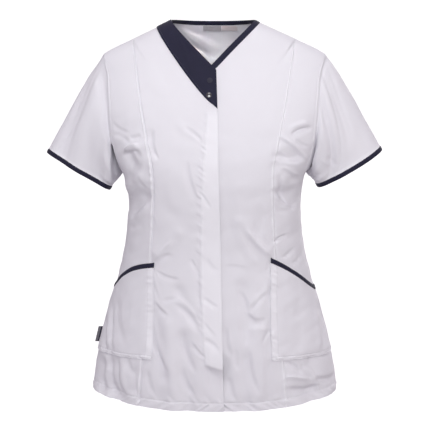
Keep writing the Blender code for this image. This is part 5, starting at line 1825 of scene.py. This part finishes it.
def build_stitch_tree():
    """Geometry Nodes that lay one thread at each step of every path, turned to the cloth."""
    tree = bpy.data.node_groups.new("stitches_along_paths", "GeometryNodeTree")
    tree.interface.new_socket("Paths", in_out="INPUT", socket_type="NodeSocketGeometry")
    for name in ("Pitch", "Length", "Thickness"):
        tree.interface.new_socket(name, in_out="INPUT", socket_type="NodeSocketFloat")
    tree.interface.new_socket("Thread", in_out="INPUT", socket_type="NodeSocketMaterial")
    tree.interface.new_socket("Stitches", in_out="OUTPUT", socket_type="NodeSocketGeometry")

    def add(kind, **settings):
        node = tree.nodes.new(kind)
        for key, value in settings.items():
            setattr(node, key, value)
        return node

    def link(a, out, b, to):
        tree.links.new(a.outputs[out], b.inputs[to])

    given, result = add("NodeGroupInput"), add("NodeGroupOutput")
    curve = add("GeometryNodeMeshToCurve")
    steps = add("GeometryNodeResampleCurve", mode="LENGTH")
    sphere = add("GeometryNodeMeshUVSphere")
    set_inputs(sphere, Segments=STITCH_SIDES, Rings=STITCH_RINGS, Radius=0.5)
    tangent = add("GeometryNodeInputTangent")
    facing = add("GeometryNodeInputNamedAttribute", data_type="FLOAT_VECTOR")
    facing.inputs["Name"].default_value = "facing"
    along = add("FunctionNodeAlignRotationToVector", axis="X")
    flat = add("FunctionNodeAlignRotationToVector", axis="Z", pivot_axis="X")
    slack = add("FunctionNodeRandomValue", data_type="FLOAT")
    slack.inputs[2].default_value = STITCH_SHORTEST
    slack.inputs[3].default_value = STITCH_LONGEST
    slack.inputs["Seed"].default_value = STITCH_SEED
    length = add("ShaderNodeMath", operation="MULTIPLY")
    size = add("ShaderNodeCombineXYZ")
    threads = add("GeometryNodeInstanceOnPoints")
    real, finish = add("GeometryNodeRealizeInstances"), add("GeometryNodeSetMaterial")
    smooth = add("GeometryNodeSetShadeSmooth")

    link(given, "Paths", curve, "Mesh")
    link(curve, "Curve", steps, "Curve")
    link(given, "Pitch", steps, "Length")
    link(tangent, "Tangent", along, "Vector")
    link(along, "Rotation", flat, "Rotation")
    link(facing, "Attribute", flat, "Vector")
    link(given, "Length", length, 0)
    tree.links.new(slack.outputs[1], length.inputs[1])
    link(length, 0, size, "X")
    link(given, "Thickness", size, "Y")
    link(given, "Thickness", size, "Z")
    link(steps, "Curve", threads, "Points")
    link(sphere, "Mesh", threads, "Instance")
    link(flat, "Rotation", threads, "Rotation")
    link(size, "Vector", threads, "Scale")
    link(threads, "Instances", smooth, "Geometry")
    link(smooth, "Geometry", real, "Geometry")
    link(real, "Geometry", finish, "Geometry")
    link(given, "Thread", finish, "Material")
    link(finish, "Geometry", result, "Stitches")
    return tree


STITCHES = build_stitch_tree()
print("stitch tree nodes:", len(STITCHES.nodes))

# %% Threads and the laying of stitches
THREAD_SHADE = 0.86
THREAD_CHANGES = 260.0
THREAD_TWISTS = 900.0
THREAD_SHEEN = 0.15


def lay_stitches(name, paths, row):
    """One mesh of stitches along many paths, each path given as points and the way the cloth faces."""
    points = np.concatenate([path[0] for path in paths])
    facings = np.concatenate([path[1] for path in paths])
    edges, start = [], 0
    for path in paths:
        edges += [(start + k, start + k + 1) for k in range(len(path[0]) - 1)]
        start += len(path[0])
    mesh = bpy.data.meshes.new(f"{name}_paths")
    mesh.from_pydata(points.tolist(), edges, [])
    mesh.attributes.new("facing", "FLOAT_VECTOR", "POINT").data.foreach_set("vector", facings.ravel())
    carrier = put_in_scene(f"{name}_paths", mesh)
    modifier = carrier.modifiers.new("stitches", "NODES")
    modifier.node_group = STITCHES
    for item in STITCHES.interface.items_tree:
        if item.in_out == "INPUT" and item.name in row:
            modifier[item.identifier] = row[item.name]
    bpy.context.view_layer.update()
    graph = bpy.context.evaluated_depsgraph_get()
    result = bpy.data.meshes.new_from_object(carrier.evaluated_get(graph), depsgraph=graph)
    bpy.data.objects.remove(carrier)
    result.name = name
    return put_in_scene(name, result)


def thread_material(name, colour, gloss):
    """Spun thread: a fine twist along each stitch and a little colour change from one to the next."""
    material, tree, shader = new_material(name)
    coordinates = tree.nodes.new("ShaderNodeTexCoord").outputs["Object"]
    change = noise_node(tree, coordinates, THREAD_CHANGES, 1.0)
    darker = tuple(THREAD_SHADE * c for c in colour)
    tree.links.new(colour_mix(tree, change, darker, colour), shader.inputs["Base Color"])
    twist = tree.nodes.new("ShaderNodeTexWave")
    twist.bands_direction = "DIAGONAL"
    set_inputs(twist, Scale=THREAD_TWISTS)
    tree.links.new(coordinates, twist.inputs["Vector"])
    relief_from(tree, shader, twist.outputs["Fac"], 0.04 * MM)
    set_inputs(shader, Roughness=gloss, Sheen_Weight=THREAD_SHEEN)
    return material


# The white thread is a little darker than the white cloth: painted shade of the stitch holes and grooves that
# it lies in.
THREAD_WHITE_PAINTED_SHADE = thread_material("white_thread", (0.74, 0.725, 0.765), 0.55)
NAVY_THREAD = thread_material("navy_thread", (0.040, 0.038, 0.062), 0.5)
WHITE_ROW = {"Pitch": 3.0 * MM, "Length": 2.2 * MM, "Thickness": 0.36 * MM, "Thread": THREAD_WHITE_PAINTED_SHADE}
NAVY_ROW = {"Pitch": 2.8 * MM, "Length": 2.1 * MM, "Thickness": 0.40 * MM, "Thread": NAVY_THREAD}
print("threads:", THREAD_WHITE_PAINTED_SHADE.name, NAVY_THREAD.name)

# %% [markdown]
# ## Where the stitches run
# Some lines cross the rows of a grid, such as the closing and the seams, and some follow them, such as
# the hem. One helper reads a place on every row, the other a place on every column.

# %% Stitch paths
PRINCESS_STITCH_ASIDE = 2.6 * MM


def across_rows(strip, rows, lengths, rise=0.0):
    """A path with one place on each of some rows, at lengths along them, raised off the cloth."""
    points, normals = (
        np.array([read_along(field[r], strip.run[r], at) for r, at in zip(rows, lengths)])
        for field in (strip.points, strip.normals)
    )
    return points + unit(normals) * rise, unit(normals)


def down_columns(strip, columns, lengths, rise=0.0):
    """A path with one place on each of some columns, at lengths down them."""
    points, normals = (np.swapaxes(field, 0, 1) for field in (strip.points, strip.normals))
    return across_rows(Strip(points, normals, strip.down.T, strip.run.T), columns, lengths, rise)


def rows_from(first, last):
    return list(range(row_number(first), row_number(last) + 1))


def hem_path(sewn, columns):
    return down_columns(whole_strip(sewn), columns, sewn.grid.down[-1, columns] - HEM_STITCH_UP)


def seam_path(sewn, first, last, offset):
    rows = rows_from(first, last)
    return across_rows(whole_strip(sewn), rows, sewn.grid.seam[rows] + offset)


def side_path(sewn, first, last, inwards):
    """A path beside the side end of each row; on the back, inwards below 0 means its other side."""
    rows = rows_from(first, last)
    lengths = sewn.grid.total[rows] - inwards if inwards > 0 else np.full(len(rows), -inwards)
    return across_rows(whole_strip(sewn), rows, lengths)


def fly_paths(sewn):
    """Down the closing's inner line and along its slanting foot to the free edge."""
    grid, strip = sewn.grid, whole_strip(sewn)
    rows = [r for r in range(len(grid.positions)) if FLY_TOP_DROP < grid.drop[r, 0] < FLY_FOOT_DROP]
    past = FLY_STITCH_IN - grid.x + fly_line(grid.drop)
    lengths = [np.interp(0.0, past[r], grid.run[r]) for r in rows]
    columns = [c for c in range(COLUMNS_FLY) if grid.x[rows[-1], c] > FLY_FOOT_X]
    foot = fly_foot(grid.x[rows[-1]])
    to_foot = [np.interp(foot[c], grid.drop[:, c], grid.down[:, c]) for c in columns]
    return [across_rows(strip, rows, lengths), down_columns(strip, columns, to_foot)]


front_columns = list(range(0, SEAM_COLUMN + 1)) + list(range(SEAM_COLUMN + 2, right_front.x.shape[1]))
white_paths = {"stitches_front_right": fly_paths(sewn_right), "stitches_front_left": []}
for word, sewn in (("right", sewn_right), ("left", sewn_left)):
    white_paths[f"stitches_front_{word}"] += [
        hem_path(sewn, front_columns),
        seam_path(sewn, "princess top", "hem", -PRINCESS_STITCH_ASIDE),
        side_path(sewn, "shoulder point", "armpit", ARMHOLE_BAND),
    ]
white_paths["stitches_back"] = [
    hem_path(sewn_back, list(range(whole_back.x.shape[1]))),
    side_path(sewn_back, "shoulder point", "armpit", ARMHOLE_BAND),
    side_path(sewn_back, "shoulder point", "armpit", -ARMHOLE_BAND),
]
for word in ("right", "left"):
    strip = pocket_strips[word]
    rise = PLY_GAP + CLOTH
    rows, columns = list(range(len(strip.run))), list(range(len(strip.run[0])))
    paths = []
    for inwards, upwards in ((STITCH_IN, STITCH_IN), (POCKET_TURNING, FOOT_TURNING)):
        paths.append(across_rows(strip, rows, [inwards] * len(rows), rise))
        paths.append(down_columns(strip, columns, strip.down[-1, columns] - upwards, rise))
    white_paths[f"stitches_pocket_{word}"] = paths
print({name: len(paths) for name, paths in white_paths.items()})

# %% Lay the white stitches
stitches = {name: lay_stitches(name, paths, WHITE_ROW) for name, paths in white_paths.items()}
print({name: len(piece.data.polygons) for name, piece in stitches.items()})

# %% [markdown]
# ## Stitches of the trim
# The bindings are caught down by one dark row near the edge that lies on the white cloth. The lapel has
# its row 4 mm in, and a dense bar tack holds the inner end of each pocket mouth.

# %% Lay the dark stitches
BINDING_STITCH_IN = 0.0016
BINDING_STITCH_RISE = BINDING_PROUD + 0.25 * MM
BAR_TACK_IN = 0.9 * MM
BAR_TACK_STEP = 0.45 * MM
LAPEL_STITCH_FROM = 3


def binding_paths(strip, from_last, rise):
    """A row of stitches near one long edge of a binding."""
    columns = list(range(strip.down.shape[1]))
    lengths = strip.down[-1, columns] - BINDING_STITCH_IN if from_last else [BINDING_STITCH_IN] * len(columns)
    return [down_columns(strip, columns, lengths, rise)]


def bar_tack(strip, rise):
    """Three short rows close together across the inner end of a pocket binding."""
    rows = list(range(len(strip.run)))
    return [
        across_rows(strip, rows, [BAR_TACK_IN + step * BAR_TACK_STEP] * len(rows), rise) for step in range(3)
    ]


from_edge = square_to_row(lapel, -1)
columns = range(LAPEL_STITCH_FROM, lapel.run.shape[1])
lapel_down = [np.interp(-LAPEL_STITCH_IN, -from_edge[:, c], lapel.down[:, c]) for c in columns]
dark_paths = {
    "stitches_lapel": [down_columns(lapel, columns, lapel_down, PLY_GAP + LAPEL_THICK - 0.2 * MM)],
    "stitches_neck_binding": binding_paths(neck, True, BINDING_STITCH_RISE),
}
for word, cuff in cuffs.items():
    dark_paths[f"stitches_cuff_binding_{word}"] = binding_paths(cuff, False, BINDING_STITCH_RISE)
    strip = pocket_strips[f"binding_{word}"]
    rise = PLY_GAP + CLOTH + BINDING_PROUD - CROWN_SUNK
    dark_paths[f"stitches_pocket_binding_{word}"] = binding_paths(strip, True, rise) + bar_tack(strip, rise)
for name, paths in dark_paths.items():
    stitches[name] = lay_stitches(name, paths, NAVY_ROW)
print({name: len(stitches[name].data.polygons) for name in dark_paths})

# %% [markdown]
# ## Pieces on the body
# Every piece rides on the one body of the part. The solid that each piece other than the stitches
# stands for is hidden, so that only the dressed piece shows.

# %% Pieces on the body
Cut = namedtuple("Cut", "width length area held")

for name, piece in pieces.items():
    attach(piece, "root")
    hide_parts(name)
for name, piece in stitches.items():
    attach(piece, "root")
print("pieces:", len(pieces), "stitch meshes:", len(stitches))
